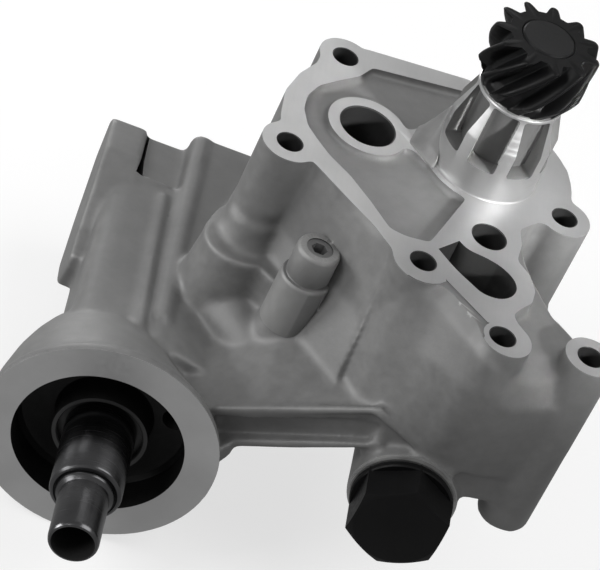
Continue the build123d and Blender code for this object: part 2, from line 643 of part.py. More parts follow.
# ---------------------------------------------------------------- rotor cover and its fasteners
with BuildPart() as rotor_cover:
    with BuildSketch(Plane.XY.offset(BASE - 0.02)):
        with Locations((ECC, 0)):
            Circle(HOUSING_R - 1.2)
        for a in COVER_BOLT_ANGLES + DOWEL_ANGLES:
            with Locations(ring_points(ECC, 0, COVER_BOLT_R, (a,))[0]):
                Circle(EAR_R)
    extrude(amount=-(COVER_T - 2.0))
    with BuildSketch(Plane.XY.offset(BASE - COVER_T + 2.0)):
        with Locations((ECC, 0)):
            Circle(27.0)
    extrude(amount=-2.0, taper=20)
    with BuildSketch(Plane.XY.offset(BASE - COVER_T - 1)):
        for a in COVER_BOLT_ANGLES:
            with Locations(ring_points(ECC, 0, COVER_BOLT_R, (a,))[0]):
                Circle(3.3)
    extrude(amount=COVER_T + 2, mode=Mode.SUBTRACT)
    with BuildSketch(Plane.XY.offset(BASE)):
        for a in DOWEL_ANGLES:
            with Locations(ring_points(ECC, 0, COVER_BOLT_R, (a,))[0]):
                Circle(2.5)
    extrude(amount=-5.0, mode=Mode.SUBTRACT)
rotor_cover.part.label = "rotor_cover"
export_step(rotor_cover.part, "parts/rotor_cover.step")

with BuildPart() as cover_seal:
    with BuildSketch(Plane.XY.offset(BASE + 0.02)):
        with Locations((ECC, 0)):
            Circle(SEAL_R + 0.6)
            Circle(SEAL_R - 0.6, mode=Mode.SUBTRACT)
    extrude(amount=1.2)
cover_seal.part.label = "cover_seal"
export_step(cover_seal.part, "parts/cover_seal.step")

with BuildPart() as cover_washers:
    with BuildSketch(Plane.XY.offset(BASE - COVER_T + 1.95)):
        for a in COVER_BOLT_ANGLES:
            with Locations(ring_points(ECC, 0, COVER_BOLT_R, (a,))[0]):
                Circle(5.6)
                Circle(3.2, mode=Mode.SUBTRACT)
    extrude(amount=-1.2)
cover_washers.part.label = "cover_washers"
export_step(cover_washers.part, "parts/cover_washers.step")

with BuildPart() as cover_bolts:
    with BuildSketch(Plane.XY.offset(BASE - COVER_T + 0.7)):
        for a in COVER_BOLT_ANGLES:
            with Locations(ring_points(ECC, 0, COVER_BOLT_R, (a,))[0]):
                RegularPolygon(5.0, 6, major_radius=False)
    extrude(amount=-4.2)
    with BuildSketch(Plane.XY.offset(BASE - COVER_T + 0.7)):
        for a in COVER_BOLT_ANGLES:
            with Locations(ring_points(ECC, 0, COVER_BOLT_R, (a,))[0]):
                Circle(2.96)
    extrude(amount=21.0)
cover_bolts.part.label = "cover_bolts"
export_step(cover_bolts.part, "parts/cover_bolts.step")

with BuildPart() as cover_dowels:
    with BuildSketch(Plane.XY.offset(BASE - 4.8)):
        for a in DOWEL_ANGLES:
            with Locations(ring_points(ECC, 0, COVER_BOLT_R, (a,))[0]):
                Circle(2.47)
    extrude(amount=14.0)
cover_dowels.part.label = "cover_dowels"
export_step(cover_dowels.part, "parts/cover_dowels.step")

# ---------------------------------------------------------------- relief valve
with BuildPart() as relief_washer:
    with BuildSketch(Plane.XZ.offset(-VALVE_FACE)):
        with Locations(VALVE):
            Circle(WASHER_R)
            Circle(11.1, mode=Mode.SUBTRACT)
    extrude(amount=WASHER_T)
relief_washer.part.label = "relief_washer"
export_step(relief_washer.part, "parts/relief_washer.step")

HEX_Y = VALVE_FACE - WASHER_T
with BuildPart() as relief_plug:
    with BuildSketch(Plane.XZ.offset(-HEX_Y)):
        with Locations(VALVE):
            Circle(17.2)
    extrude(amount=2.4)
    with BuildSketch(Plane.XZ.offset(-HEX_Y)):
        with Locations(VALVE):
            RegularPolygon(HEX_AF / 2, 6, major_radius=False, rotation=28.0)
    extrude(amount=HEX_H)
    with BuildSketch(Plane(origin=(VALVE[0], 0, VALVE[1]), x_dir=(1, 0, 0), z_dir=(0, 0, 1))):
        with BuildLine():
            Polyline((0, -40.0), (60.0, -40.0), (60.0, HEX_Y), (20.0, HEX_Y - HEX_H + 3.0), (14.7, HEX_Y - HEX_H), (0, HEX_Y - HEX_H),
                     close=True)
        make_face()
    revolve(axis=Axis((VALVE[0], 0, VALVE[1]), (0, 1, 0)), mode=Mode.INTERSECT)
    with BuildSketch(Plane.XZ.offset(-HEX_Y)):
        with Locations(VALVE):
            Circle(10.95)
    extrude(amount=-14.0)
    with BuildSketch(Plane.XZ.offset(-HEX_Y - 4.0)):
        with Locations(VALVE):
            Circle(6.6)
    extrude(amount=-30.0, mode=Mode.SUBTRACT)
relief_plug.part.label = "relief_plug"
export_step(relief_plug.part, "parts/relief_plug.step")

with BuildPart() as relief_shim:
    with BuildSketch(Plane.XZ.offset(-HEX_Y - 4.0 - 0.02)):
        with Locations(VALVE):
            Circle(6.2)
    extrude(amount=-1.0)
relief_shim.part.label = "relief_shim"
export_step(relief_shim.part, "parts/relief_shim.step")

PLUNGER_NOSE = -54.5
PLUNGER_LEN = 15.0
with BuildPart() as relief_plunger:
    with BuildSketch(Plane.XZ.offset(-PLUNGER_NOSE)):
        with Locations(VALVE):
            Circle(PLUNGER_R)
    extrude(amount=PLUNGER_LEN)
    with BuildSketch(Plane.XZ.offset(-PLUNGER_NOSE + 3.0)):
        with Locations(VALVE):
            Circle(6.2)
    extrude(amount=PLUNGER_LEN, mode=Mode.SUBTRACT)
    with BuildSketch(Plane(origin=(VALVE[0], 0, VALVE[1]), x_dir=(1, 0, 0), z_dir=(0, 0, 1))):
        with BuildLine():
            Polyline((PLUNGER_R - 0.35, PLUNGER_NOSE - 5.0), (PLUNGER_R + 1, PLUNGER_NOSE - 5.0), (PLUNGER_R + 1, PLUNGER_NOSE - 6.0),
                     (PLUNGER_R - 0.35, PLUNGER_NOSE - 6.0), close=True)
        make_face()
    revolve(axis=Axis((VALVE[0], 0, VALVE[1]), (0, 1, 0)), mode=Mode.SUBTRACT)
relief_plunger.part.label = "relief_plunger"
export_step(relief_plunger.part, "parts/relief_plunger.step")

SPRING_WIRE = 0.8
SPRING_R = 5.1
SPRING_Y0 = HEX_Y + 4.0 + 1.05 + SPRING_WIRE
SPRING_LEN = (PLUNGER_NOSE - 3.0) - 0.1 - SPRING_WIRE - SPRING_Y0
with BuildPart() as relief_spring:
    with BuildLine() as coil:
        Helix(pitch=SPRING_LEN / 9.0, height=SPRING_LEN, radius=SPRING_R, center=(VALVE[0], SPRING_Y0, VALVE[1]), direction=(0, 1, 0))
    with BuildSketch(Plane(origin=coil.line @ 0, z_dir=coil.line % 0)):
        Circle(SPRING_WIRE)
    sweep(path=coil.line, is_frenet=True)
relief_spring.part.label = "relief_spring"
export_step(relief_spring.part, "parts/relief_spring.step")

# ---------------------------------------------------------------- filter stud and gallery plugs
with BuildPart() as filter_stud:
    with BuildSketch(Plane(origin=(MOUNT[0], 0, MOUNT[1]), x_dir=(1, 0, 0), z_dir=(0, 0, 1))):
        with BuildLine():
            Polyline((6.0, -79.6), (8.3, -79.6), (8.95, -80.4), (8.95, BOSS_Y + 2.95), (STUD_BIG_R, BOSS_Y + 2.95), (STUD_BIG_R, SHOULDER_Y + 1.0),
                     (STUD_BIG_R - 0.9, SHOULDER_Y), (STUD_R + 0.5, SHOULDER_Y), (STUD_R, SHOULDER_Y - 0.6), (STUD_R, STUD_END_Y + 0.9),
                     (STUD_R - 0.7, STUD_END_Y), (STUD_BORE_R, STUD_END_Y), (STUD_BORE_R, -112.0), (6.0, -110.6), close=True)
        make_face()
    revolve(axis=Axis((MOUNT[0], 0, MOUNT[1]), (0, 1, 0)))
filter_stud.part.label = "filter_stud"
export_step(filter_stud.part, "parts/filter_stud.step")

with BuildPart() as gallery_plug:
    with BuildSketch(Plane.XY.offset(-17.0)):
        with Locations((-46.4, -52.4)):
            Circle(4.57)
    extrude(amount=-12.0)
    with BuildSketch(Plane.XY.offset(-17.0)):
        with Locations((-46.4, -52.4)):
            RegularPolygon(2.5, 6, major_radius=False)
    extrude(amount=-5.0, mode=Mode.SUBTRACT)
gallery_plug.part.label = "gallery_plug"
export_step(gallery_plug.part, "parts/gallery_plug.step")

with BuildPart() as duct_plug:
    with BuildSketch(Plane.XZ.offset(-34.6)):
        with Locations(MOUNT):
            Circle(8.96)
    extrude(amount=10.5)
    with BuildSketch(Plane.XZ.offset(-34.6)):
        with Locations(MOUNT):
            RegularPolygon(5.0, 6, major_radius=False)
    extrude(amount=6.5, mode=Mode.SUBTRACT)
duct_plug.part.label = "duct_plug"
export_step(duct_plug.part, "parts/duct_plug.step")

for piece in (pump_housing, drive_shaft, drive_gear, gear_pin, thrust_washer, upper_bush, lower_bush, inner_rotor, rotor_pin,
              outer_rotor, rotor_cover, cover_seal, cover_washers, cover_bolts, cover_dowels, relief_washer, relief_plug,
              relief_shim, relief_plunger, relief_spring, filter_stud, gallery_plug, duct_plug):
    solid_count = len(piece.part.solids())
    print(piece.part.label, solid_count, "solids", round(piece.part.volume / 1000, 2), "cm3", piece.part.is_valid)
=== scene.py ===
import bpy, bmesh, math
from mathutils import Vector, Matrix


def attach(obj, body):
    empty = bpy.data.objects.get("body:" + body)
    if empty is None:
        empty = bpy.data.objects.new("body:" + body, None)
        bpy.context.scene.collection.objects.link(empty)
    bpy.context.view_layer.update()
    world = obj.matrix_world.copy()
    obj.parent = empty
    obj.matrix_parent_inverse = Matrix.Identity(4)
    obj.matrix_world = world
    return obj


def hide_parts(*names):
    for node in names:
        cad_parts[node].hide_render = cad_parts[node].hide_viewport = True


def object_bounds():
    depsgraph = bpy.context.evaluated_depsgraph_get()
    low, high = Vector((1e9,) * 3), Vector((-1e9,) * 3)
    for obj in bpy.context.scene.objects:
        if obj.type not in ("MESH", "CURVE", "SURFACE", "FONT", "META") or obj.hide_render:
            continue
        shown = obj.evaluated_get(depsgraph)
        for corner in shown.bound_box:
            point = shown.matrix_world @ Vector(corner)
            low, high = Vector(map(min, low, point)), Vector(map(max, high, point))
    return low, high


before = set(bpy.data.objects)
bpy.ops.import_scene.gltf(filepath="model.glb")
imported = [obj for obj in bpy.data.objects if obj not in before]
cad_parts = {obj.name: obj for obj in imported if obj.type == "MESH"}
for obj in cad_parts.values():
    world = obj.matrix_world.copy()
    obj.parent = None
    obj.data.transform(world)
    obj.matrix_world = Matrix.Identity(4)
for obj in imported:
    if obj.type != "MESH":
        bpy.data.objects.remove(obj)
cad_lo, cad_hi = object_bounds()
MM = 0.001
scene = bpy.context.scene

# ------------------------------------------------------------------ camera
cam_data = bpy.data.cameras.new("camera")
cam = bpy.data.objects.new("camera", cam_data)
scene.collection.objects.link(cam)
cam_data.sensor_width = 36.0
cam_data.lens = 228.0
cam_data.clip_start, cam_data.clip_end = 0.05, 20.0
R0, R1, R2 = (0.93035, 0.12117, 0.34606), (0.34203, -0.62689, -0.70002), (0.13212, 0.76963, -0.62467)
cam.matrix_world = Matrix(((R0[0], -R1[0], -R2[0], -0.2127), (R0[1], -R1[1], -R2[1], -1.0178), (R0[2], -R1[2], -R2[2], 0.7494), (0, 0, 0, 1)))
scene.camera = cam


# ------------------------------------------------------------------ mesh helpers (millimetres in, metres out)
def new_object(name, mesh):
    ob = bpy.data.objects.new(name, mesh)
    scene.collection.objects.link(ob)
    return ob


def from_bm(name, bm, mat=None):
    bmesh.ops.remove_doubles(bm, verts=bm.verts, dist=1e-7)
    bmesh.ops.recalc_face_normals(bm, faces=bm.faces)
    mesh = bpy.data.meshes.new(name)
    bm.to_mesh(mesh)
    bm.free()
    ob = new_object(name, mesh)
    if mat is not None:
        mesh.materials.append(mat)
    return ob


def plane_point(axis, a, b, c):
    """In-plane coordinates (a, b) and height c to X, Y, Z: axis Z takes (X, Y), axis Y takes (X, Z), axis X takes (Y, Z)."""
    if axis == "Z":
        return Vector((a, b, c)) * MM
    if axis == "Y":
        return Vector((a, c, b)) * MM
    return Vector((c, a, b)) * MM


def stack(bm, rings, axis=None, closed=True, caps=True):
    """Joins rings of equal length, each a list of XYZ points in metres, into a tube with its ends closed."""
    rows = [[bm.verts.new(p) for p in ring] for ring in rings]
    n = len(rows[0])
    for r0, r1 in zip(rows, rows[1:]):
        for i in range(n):
            j = (i + 1) % n
            bm.faces.new((r0[i], r0[j], r1[j], r1[i]))
    if caps:
        lower = bm.faces.new(rows[0])
        upper = bm.faces.new(rows[-1])
        bmesh.ops.triangulate(bm, faces=[lower, upper])


def prism(bm, poly, c0, c1, axis="Z"):
    stack(bm, [[plane_point(axis, a, b, c) for a, b in poly] for c in (c0, c1)])


def drafted(bm, polys, axis="Z"):
    """polys: list of (height, polygon) with equal point counts."""
    stack(bm, [[plane_point(axis, a, b, c) for a, b in poly] for c, poly in polys])


def circle(cx, cy, r, n=64, start=0.0):
    return [(cx + r * math.cos(2 * math.pi * i / n + start), cy + r * math.sin(2 * math.pi * i / n + start)) for i in range(n)]


def rod(bm, cx, cy, profile, axis="Z", n=72):
    """profile: (radius, height) pairs along the axis."""
    stack(bm, [[plane_point(axis, a, b, c) for a, b in circle(cx, cy, r, n)] for r, c in profile])


def bar(bm, p0, p1, r0, r1=None, n=24):
    a, b = Vector(p0) * MM, Vector(p1) * MM
    d = (b - a).normalized()
    u = d.orthogonal().normalized()
    v = d.cross(u)
    turns = [2 * math.pi * i / n for i in range(n)]
    stack(bm, [[p + (u * math.cos(t) + v * math.sin(t)) * r * MM for t in turns] for p, r in ((a, r0), (b, r0 if r1 is None else r1))])


def spin(bm, cx, cy, profile, axis="Z", n=128):
    """Closed profile of (radius, height) turned about the axis: a ring, or a solid where the radius reaches zero."""
    rows = []
    for i in range(n):
        t = 2 * math.pi * i / n
        rows.append([bm.verts.new(plane_point(axis, cx + r * math.cos(t), cy + r * math.sin(t), c)) for r, c in profile])
    m = len(profile)
    for i in range(n):
        a, b = rows[i], rows[(i + 1) % n]
        for k in range(m):
            l = (k + 1) % m
            if profile[k][0] == 0 and profile[l][0] == 0:
                continue
            if profile[k][0] == 0:
                bm.faces.new((a[k], a[l], b[l]))
            elif profile[l][0] == 0:
                bm.faces.new((a[k], a[l], b[k]))
            else:
                bm.faces.new((a[k], a[l], b[l], b[k]))


def ring_points(cx, cy, r, degs):
    return [(cx + r * math.cos(math.radians(d)), cy + r * math.sin(math.radians(d))) for d in degs]


def apply_modifiers(ob):
    dg = bpy.context.evaluated_depsgraph_get()
    dg.update()
    mesh = bpy.data.meshes.new_from_object(ob.evaluated_get(dg))
    ob.modifiers.clear()
    ob.data = mesh
    return ob


def remesh(ob, size):
    m = ob.modifiers.new("remesh", "REMESH")
    m.mode = "VOXEL"
    m.voxel_size = size * MM
    m.adaptivity = 0.0
    return apply_modifiers(ob)


def smooth(ob, rounds, factor=0.5):
    m = ob.modifiers.new("smooth", "SMOOTH")
    m.factor = factor
    m.iterations = rounds
    return apply_modifiers(ob)


def boolean(ob, cutter, how="DIFFERENCE", keep=False):
    m = ob.modifiers.new("bool", "BOOLEAN")
    m.solver = "MANIFOLD"
    m.operation = how
    m.object = cutter
    m.material_mode = "TRANSFER"
    apply_modifiers(ob)
    if not keep:
        bpy.data.objects.remove(cutter)
    return ob


def cutters(name, makers, mat):
    """Unions several simple solids into one cutter."""
    total = None
    for make in makers:
        bm = bmesh.new()
        make(bm)
        ob = from_bm(name, bm, mat)
        total = ob if total is None else boolean(total, ob, "UNION")
    return total


# ------------------------------------------------------------------ dimensions repeated from the construction (mm)
H = {"H1": (-53.7, 30.0, 9.5), "H2": (-66.6, -26.1, 9.8), "H3": (30.5, -12.3, 9.3), "H4": (-15.6, -61.0, 10.6), "H5": (14.2, -83.6, 10.2),
     "H6": (44.5, -77.8, 9.0)}
OUTLINE = [(-9.0, 43.0), (-47.0, 38.4), (-62.4, 25.0), (-62.8, 21.4), (-68.1, 11.8), (-71.7, 0.0),
           (-71.6, -13.9), (-66.6, -35.0), (-58.2, -31.2), (-45.2, -42.7), (-33.5, -52.1), (-25.0, -62.6),
           (-20.0, -71.0), (-7.3, -65.8), (7.5, -78.4), (12.0, -82.0), (26.0, -78.0), (39.0, -74.0),
           (41.2, -64.6), (31.2, -55.4), (20.8, -31.0), (22.4, -17.0), (30.5, -2.8), (31.9, 0.0), (29.9, 12.7),
           (24.4, 20.9), (14.0, 29.5)]
INLET = [(-11.2, -52.2), (-4.6, -44.3), (-0.8, -47.0), (6.4, -48.2), (11.6, -50.2), (15.6, -53.9),
         (16.9, -58.6), (15.0, -63.2), (11.0, -66.0), (5.6, -66.0), (0.9, -63.0), (-4.9, -58.6)]
SECTIONS = [
    (-74.0, [(39.0, -100.0), (39.0, -70.0), (-36.0, -69.0), (-88.0, -73.0), (-88.0, -85.0)]),
    (-47.0, [(39.0, -84.0), (39.0, -62.0), (-44.0, -47.0), (-89.0, -59.3), (-89.0, -77.6)]),
    (-11.0, [(39.0, -70.0), (39.0, -42.0), (-66.0, -37.0), (-86.0, -45.6), (-86.0, -64.0)]),
    (18.0, [(39.0, -70.0), (39.0, -42.0), (-80.0, -38.0), (-90.0, -53.0), (-90.0, -67.0)]),
    (42.0, [(-2.0, -70.0), (-2.0, -42.0), (-78.0, -38.0), (-84.5, -46.0), (-84.5, -67.0)])]
BELLY = [
    (-27.0, [(-50.0, -50.0), (-50.0, -6.0), (-60.0, -6.0), (-62.6, -14.0), (-66.0, -26.0), (-72.0, -50.0)]),
    (-19.0, [(-50.0, -60.0), (-50.0, 0.6), (-66.5, 0.6), (-70.6, -4.6), (-74.6, -22.0), (-82.4, -52.0)]),
    (-7.0, [(-50.0, -60.0), (-50.0, 0.6), (-68.4, 0.6), (-74.6, -4.6), (-81.0, -20.0), (-87.0, -47.0)]),
    (4.6, [(-50.0, -60.0), (-50.0, 0.6), (-78.6, 0.6), (-85.8, -4.4), (-90.2, -18.0), (-90.4, -50.0)]),
    (9.4, [(-50.0, -60.0), (-50.0, 0.6), (-87.6, 0.6), (-92.4, -4.0), (-94.0, -18.0), (-91.8, -51.0)]),
    (14.6, [(-50.0, -60.0), (-50.0, -1.6), (-87.6, -1.6), (-93.4, -5.4), (-95.2, -16.0), (-92.0, -53.0)]),
    (25.0, [(-50.0, -60.0), (-50.0, -6.0), (-80.0, -6.0), (-89.0, -9.6), (-94.0, -20.0), (-90.6, -54.0)]),
    (42.0, [(-66.0, -60.0), (-66.0, -6.0), (-72.0, -6.0), (-80.5, -9.4), (-86.4, -19.0), (-85.4, -54.0)])]
SKIRT = [
    (-61.0, [(-20.0, -66.0), (-20.0, -6.0), (-29.5, -6.0), (-31.5, -30.0), (-40.0, -67.0)]),
    (-47.0, [(-20.0, -62.0), (-20.0, -1.0), (-41.0, -1.0), (-44.5, -28.0), (-60.0, -63.0)]),
    (-26.0, [(-20.0, -58.0), (-20.0, -1.0), (-61.0, -1.0), (-66.5, -26.0), (-81.0, -58.0)])]
ECC, CHAMBER_R, CHAMBER_TOP, BASE, HOUSING_R = 2.6, 29.1, -46.0, -70.0, 38.6
COVER_BOLT_R, EAR_R = 35.8, 5.8
COVER_ANGLES = (25.0, 85.0, 145.0, 205.0, 265.0, 325.0)
DOWEL_ANGLES = (55.0, 235.0)
MX, MZ = -92.6, -85.0
VX, VZ = 8.2, -71.5
TOP = 2.6          # machining allowance above the flange


def curved(sections, steps=5):
    """Sections filled in between with a Catmull-Rom curve, so that the cast skin has no creases."""
    out = []
    for k in range(len(sections) - 1):
        a = sections[max(k - 1, 0)]
        b, c = sections[k], sections[k + 1]
        d = sections[min(k + 2, len(sections) - 1)]
        for i in range(steps):
            t = i / steps

            def blend(p, q, r, s_):
                return 0.5 * (2 * q + (r - p) * t + (2 * p - 5 * q + 4 * r - s_) * t * t + (3 * q - p - 3 * r + s_) * t ** 3)
            out.append((b[0] + (c[0] - b[0]) * t, [(blend(pa[0], pb[0], pc[0], pd[0]), blend(pa[1], pb[1], pc[1], pd[1]))
                                                   for pa, pb, pc, pd in zip(a[1], b[1], c[1], d[1])]))
    return out + [sections[-1]]


def smooth_outline(pts, sharp=(), steps=6):
    out, n = [], len(pts)
    for k in range(n):
        a, b, c, d = pts[(k - 1) % n], pts[k], pts[(k + 1) % n], pts[(k + 2) % n]
        if k in sharp:
            a = b
        if (k + 1) % n in sharp:
            d = c
        for i in range(steps):
            t = i / steps
            out.append(tuple(0.5 * (2 * q + (r - p) * t + (2 * p - 5 * q + 4 * r - s_) * t * t + (3 * q - p - 3 * r + s_) * t ** 3)
                             for p, q, r, s_ in zip(a, b, c, d)))
    return out


def section_loft(bm, sections):
    stack(bm, [[plane_point("X", y, z, x) for y, z in pts] for x, pts in sections])


def cast_positive(bm):
    prism(bm, OUTLINE, -40.0, TOP)
    for k, (hx, hy, hr) in H.items():
        if k != "H5":
            rod(bm, hx, hy, [(hr, -40.0), (hr, TOP)])
    rod(bm, 15.8, -83.7, [(9.0, -16.0), (8.5, TOP)])
    rod(bm, 0, 0, [(32.1, -40.0), (32.1, TOP)], n=128)
    section_loft(bm, SECTIONS)
    section_loft(bm, curved(BELLY))
    section_loft(bm, SKIRT)
    rod(bm, ECC, 0, [(HOUSING_R, BASE - 2.0), (HOUSING_R, -36.0)], n=128)
    for x, y in ring_points(ECC, 0, COVER_BOLT_R, COVER_ANGLES + DOWEL_ANGLES):
        rod(bm, x, y, [(EAR_R, BASE - 2.0), (EAR_R, BASE + 16.0)], n=40)
    prism(bm, [(-30.0, 40.0), (-50.0, 37.5), (-63.5, 26.0), (-71.0, 8.0), (-75.0, -12.0), (-78.0, -30.0), (-60.0, -34.0),
               (-45.0, -42.0), (-30.0, -50.0), (-20.0, 0.0)], -84.0, -39.5)
    rod(bm, H["H1"][0], H["H1"][1], [(9.5, -84.0), (9.5, -39.0)])
    rod(bm, -68.0, -33.0, [(16.4, -84.0), (15.2, -62.0), (14.0, -50.0), (13.4, -45.0), (13.4, -39.6)])
    bar(bm, (-67.0, -37.0, -64.0), (-47.0, -60.0, -66.0), 12.0, 9.0)
    prism(bm, [(-68.3, -46.4), (-63.3, -44.0), (-59.9, -44.6), (-55.7, -47.6), (-50.0, -50.5), (-50.0, -38.0), (-53.0, -29.0), (-62.0, -24.0)], -68.0, -39.8)
    rod(bm, -66.9, -28.0, [(13.6, -40.2), (11.4, -38.0), (10.3, -34.5), (9.8, -30.0)])
    rod(bm, 44.2, -77.8, [(9.2, -76.0), (9.2, -39.0)])
    prism(bm, [(-92.0, -42.0), (-66.0, -42.0), (-66.0, -6.0), (-92.0, -6.0)], -90.0, -67.5)
    # filter duct, cross blocks, rib
    prism(bm, [(-113.2, -96.0)] + ring_points(-106.8, -71.4, 6.4, (180, 165, 150, 135, 120, 105, 90))
          + [(-84.0, -64.8), (-72.0, -70.0), (-66.0, -76.0), (-66.0, -104.0), (-80.0, -110.0), (-104.0, -110.0)], -88.0, 11.5, "Y")
    prism(bm, [(-106.0, -13.0), (-61.0, -13.0), (-61.0, 37.6), (-106.0, 37.6)], -106.0, -67.2)
    prism(bm, [(-86.5, -20.0), (-80.0, -36.0), (-64.0, -30.0), (-61.8, 42.0), (-86.5, 42.0)], -104.0, -62.5)
    prism(bm, [(-86.0, -63.6), (-77.0, -64.4), (-67.0, -66.6), (-57.0, -72.0), (-50.0, -80.0), (-50.0, -92.0), (-86.0, -92.0)], -72.0, -12.0, "Y")
    rod(bm, -84.6, -65.9, [(4.4, 42.0), (4.2, -58.0)], "Y", n=40)
    stack(bm, [[plane_point("Y", a, b, -54.0) for a, b in circle(-84.6, -65.9, 4.2, 40)], [plane_point("Y", a, b, -74.0) for a, b in circle(-84.2, -68.2, 1.6, 40)]])
    bar(bm, (-93.6, 6.0, -66.4), (-91.6, -66.0, -64.4), 2.5, 2.2)
    prism(bm, [(33.0, -62.4), (37.6, -65.2), (33.0, -80.0), (12.0, -95.0), (-6.0, -103.0), (-18.0, -99.0), (-26.5, -83.4),
               (-26.5, -77.6), (-15.0, -75.6), (2.0, -66.5), (16.0, -61.5)], -118.2, -104.6, "X")
    # filter bowl, cast over length
    spin(bm, MX, MZ, [(0, -104.6), (40.4, -104.6), (40.4, -100.2), (39.0, -98.4), (36.6, -94.6), (33.0, -90.6), (28.0, -87.0), (20.0, -84.0), (0, -80.0)], "Y")
    stack(bm, [[plane_point("Y", a, b, y) for a, b in circle(cx, cz, r, 96)] for y, cx, cz, r in
               ((-100.0, -92.8, -85.0, 39.2), (-90.0, -95.0, -85.6, 35.4), (-77.0, -97.5, -86.2, 29.6), (-68.0, -98.4, -87.0, 25.6),
                (-60.0, -98.8, -87.6, 21.6), (-50.0, -98.8, -88.0, 15.0))])
    prism(bm, [(MX + 8.0, MZ - 8.0), (MX + 40.0, MZ - 8.0), (MX + 40.0, MZ + 8.0), (MX + 8.0, MZ + 14.0)], -94.0, -88.0, "Y")
    prism(bm, [(-76.0, -70.0), (-53.0, -72.0), (-49.0, -80.5), (-56.0, -93.0), (-76.0, -104.0)], -92.0, -82.0, "Y")
    rod(bm, VX, VZ, [(18.6, -93.2), (18.2, -80.0), (17.6, -43.5)], "Y")
    rod(bm, -46.4, -52.4, [(12.0, -67.0), (9.8, -56.0), (8.4, -50.0), (7.4, -45.0)])
    # ledges of the gallery wall and the shoulder over the valve
    bar(bm, (-60.0, -88.2, -66.6), (-11.5, -87.6, -43.4), 1.5)
    bar(bm, (-11.5, -87.8, -43.6), (20.4, -91.4, -55.6), 1.9, 1.5)
    rim = [(-112.9, 11.2, -82.0), (-112.7, 11.2, -72.0), (-110.8, 11.2, -67.2), (-106.8, 11.2, -65.2), (-99.0, 11.2, -65.0), (-93.0, 11.2, -65.4)]
    for p, q in zip(rim, rim[1:]):
        bar(bm, p, q, 1.15)
    bar(bm, (-52.0, -88.4, -78.4), (-5.0, -87.6, -56.4), 1.7)


def cast_recess(bm):
    prism(bm, [(-4.0, 36.8), (-26.6, 32.5), (-43.6, 29.4), (-47.5, 22.3), (-54.1, 16.1), (-60.5, 9.4), (-63.9, 1.7),
               (-64.3, -5.9), (-61.9, -14.0), (-57.5, -19.8), (-52.6, -25.3), (-44.7, -31.7), (-36.6, -40.6),
               (-28.4, -50.9), (-22.5, -51.9), (-14.3, -50.5), (-4.5, -22.0), (-10.0, 18.0), (8.0, 27.0), (4.0, 35.0)], -2.4, 8.0)


def cast_recess_island(bm):
    rod(bm, -41.7, -2.8, [(14.2, -6.0), (14.2, TOP)])


def cast_recess_web(bm):
    prism(bm, [(-35.0, 2.4), (-27.1, 3.4), (-23.6, 6.8), (-17.0, 9.4), (-15.0, -14.0), (-21.6, -9.4), (-24.2, -6.8), (-33.0, -6.0)], -6.0, TOP)


def cast_recess_foot(bm):
    rod(bm, 0, 0, [(21.8, -6.0), (21.8, TOP)], n=128)


def cast_apron(bm):
    prism(bm, [(15.6, -27.2), (16.9, -34.7), (15.9, -43.3), (20.8, -48.5), (23.3, -55.4), (22.8, -61.8),
               (19.3, -66.6), (16.9, -71.0), (18.6, -74.4), (23.0, -79.0), (24.4, -84.0), (22.0, -96.5), (34.0, -97.0), (50.0, -90.0),
               (56.0, -60.0), (27.0, -19.0), (21.6, -19.6)], -6.0, 8.0)


def cast_apron_bosses(bm):
    rod(bm, H["H6"][0], H["H6"][1], [(8.9, -9.0), (8.9, TOP)])


def cast_apron_boss5(bm):
    rod(bm, 15.8, -83.7, [(8.5, -9.0), (8.5, TOP)])


def cast_relief(bm):
    prism(bm, [(18.6, -25.2), (20.6, -34.0), (25.0, -44.0), (29.4, -51.5), (33.0, -58.0), (60.0, -58.0), (60.0, -24.0),
               (30.0, -18.0), (22.0, -20.0)], -37.0, 8.0)


def cast_relief_boss(bm):
    rod(bm, H["H3"][0], H["H3"][1], [(9.3, -45.0), (9.3, TOP)])


def cast_channel(bm):
    prism(bm, [(-60.0, -69.6), (-14.0, -50.6), (-7.0, -50.4), (-9.5, -58.0), (-16.5, -60.6), (-56.0, -78.2)], -100.0, -85.0, "Y")


def build_cast():
    bm = bmesh.new()
    cast_positive(bm)
    ob = from_bm("pump_casting", bm)
    remesh(ob, 1.0)
    for make, how in ((cast_recess, "DIFFERENCE"), (cast_apron, "DIFFERENCE"), (cast_relief, "DIFFERENCE"), (cast_channel, "DIFFERENCE"),
                      (cast_recess_island, "UNION"), (cast_recess_web, "UNION"), (cast_recess_foot, "UNION"),
                      (cast_apron_bosses, "UNION"), (cast_apron_boss5, "UNION"), (cast_relief_boss, "UNION")):
        bm = bmesh.new()
        make(bm)
        boolean(ob, from_bm("cutter", bm), how)
    remesh(ob, 0.8)
    smooth(ob, 14)
    # crisp details kept out of the smoothing: gallery stub, slot beside the pad, land edge between H4 and H5
    bm = bmesh.new()
    spin(bm, -46.4, -52.4, [(0, -50.0), (9.0, -50.0), (8.9, -30.4), (8.75, -29.6), (8.3, -29.1), (7.5, -28.9), (7.3, -28.4), (7.6, -27.8), (7.6, -18.0), (7.35, -17.2), (6.7, -16.6), (0, -16.6)], n=96)
    boolean(ob, from_bm("stub", bm), "UNION")
    bm = bmesh.new()
    prism(bm, [(-105.3, 11.2), (-101.9, 11.2), (-102.9, 22.0), (-103.1, 36.4), (-104.2, 36.4), (-104.3, 22.0)], -84.0, -58.0)
    boolean(ob, from_bm("slot", bm))
    bm = bmesh.new()
    prism(bm, [(-7.3, -65.8), (8.6, -79.3)] + ring_points(14.2, -83.6, 6.6, (138, 155, 172, 190, 206)) + [(4.0, -97.0), (-14.0, -97.0), (-26.0, -76.0)]
          + ring_points(-15.6, -61.0, 10.4, (246, 262, 278, 294, 310, 326)), -0.32, 6.0)
    boolean(ob, from_bm("land_edge", bm))
    return ob


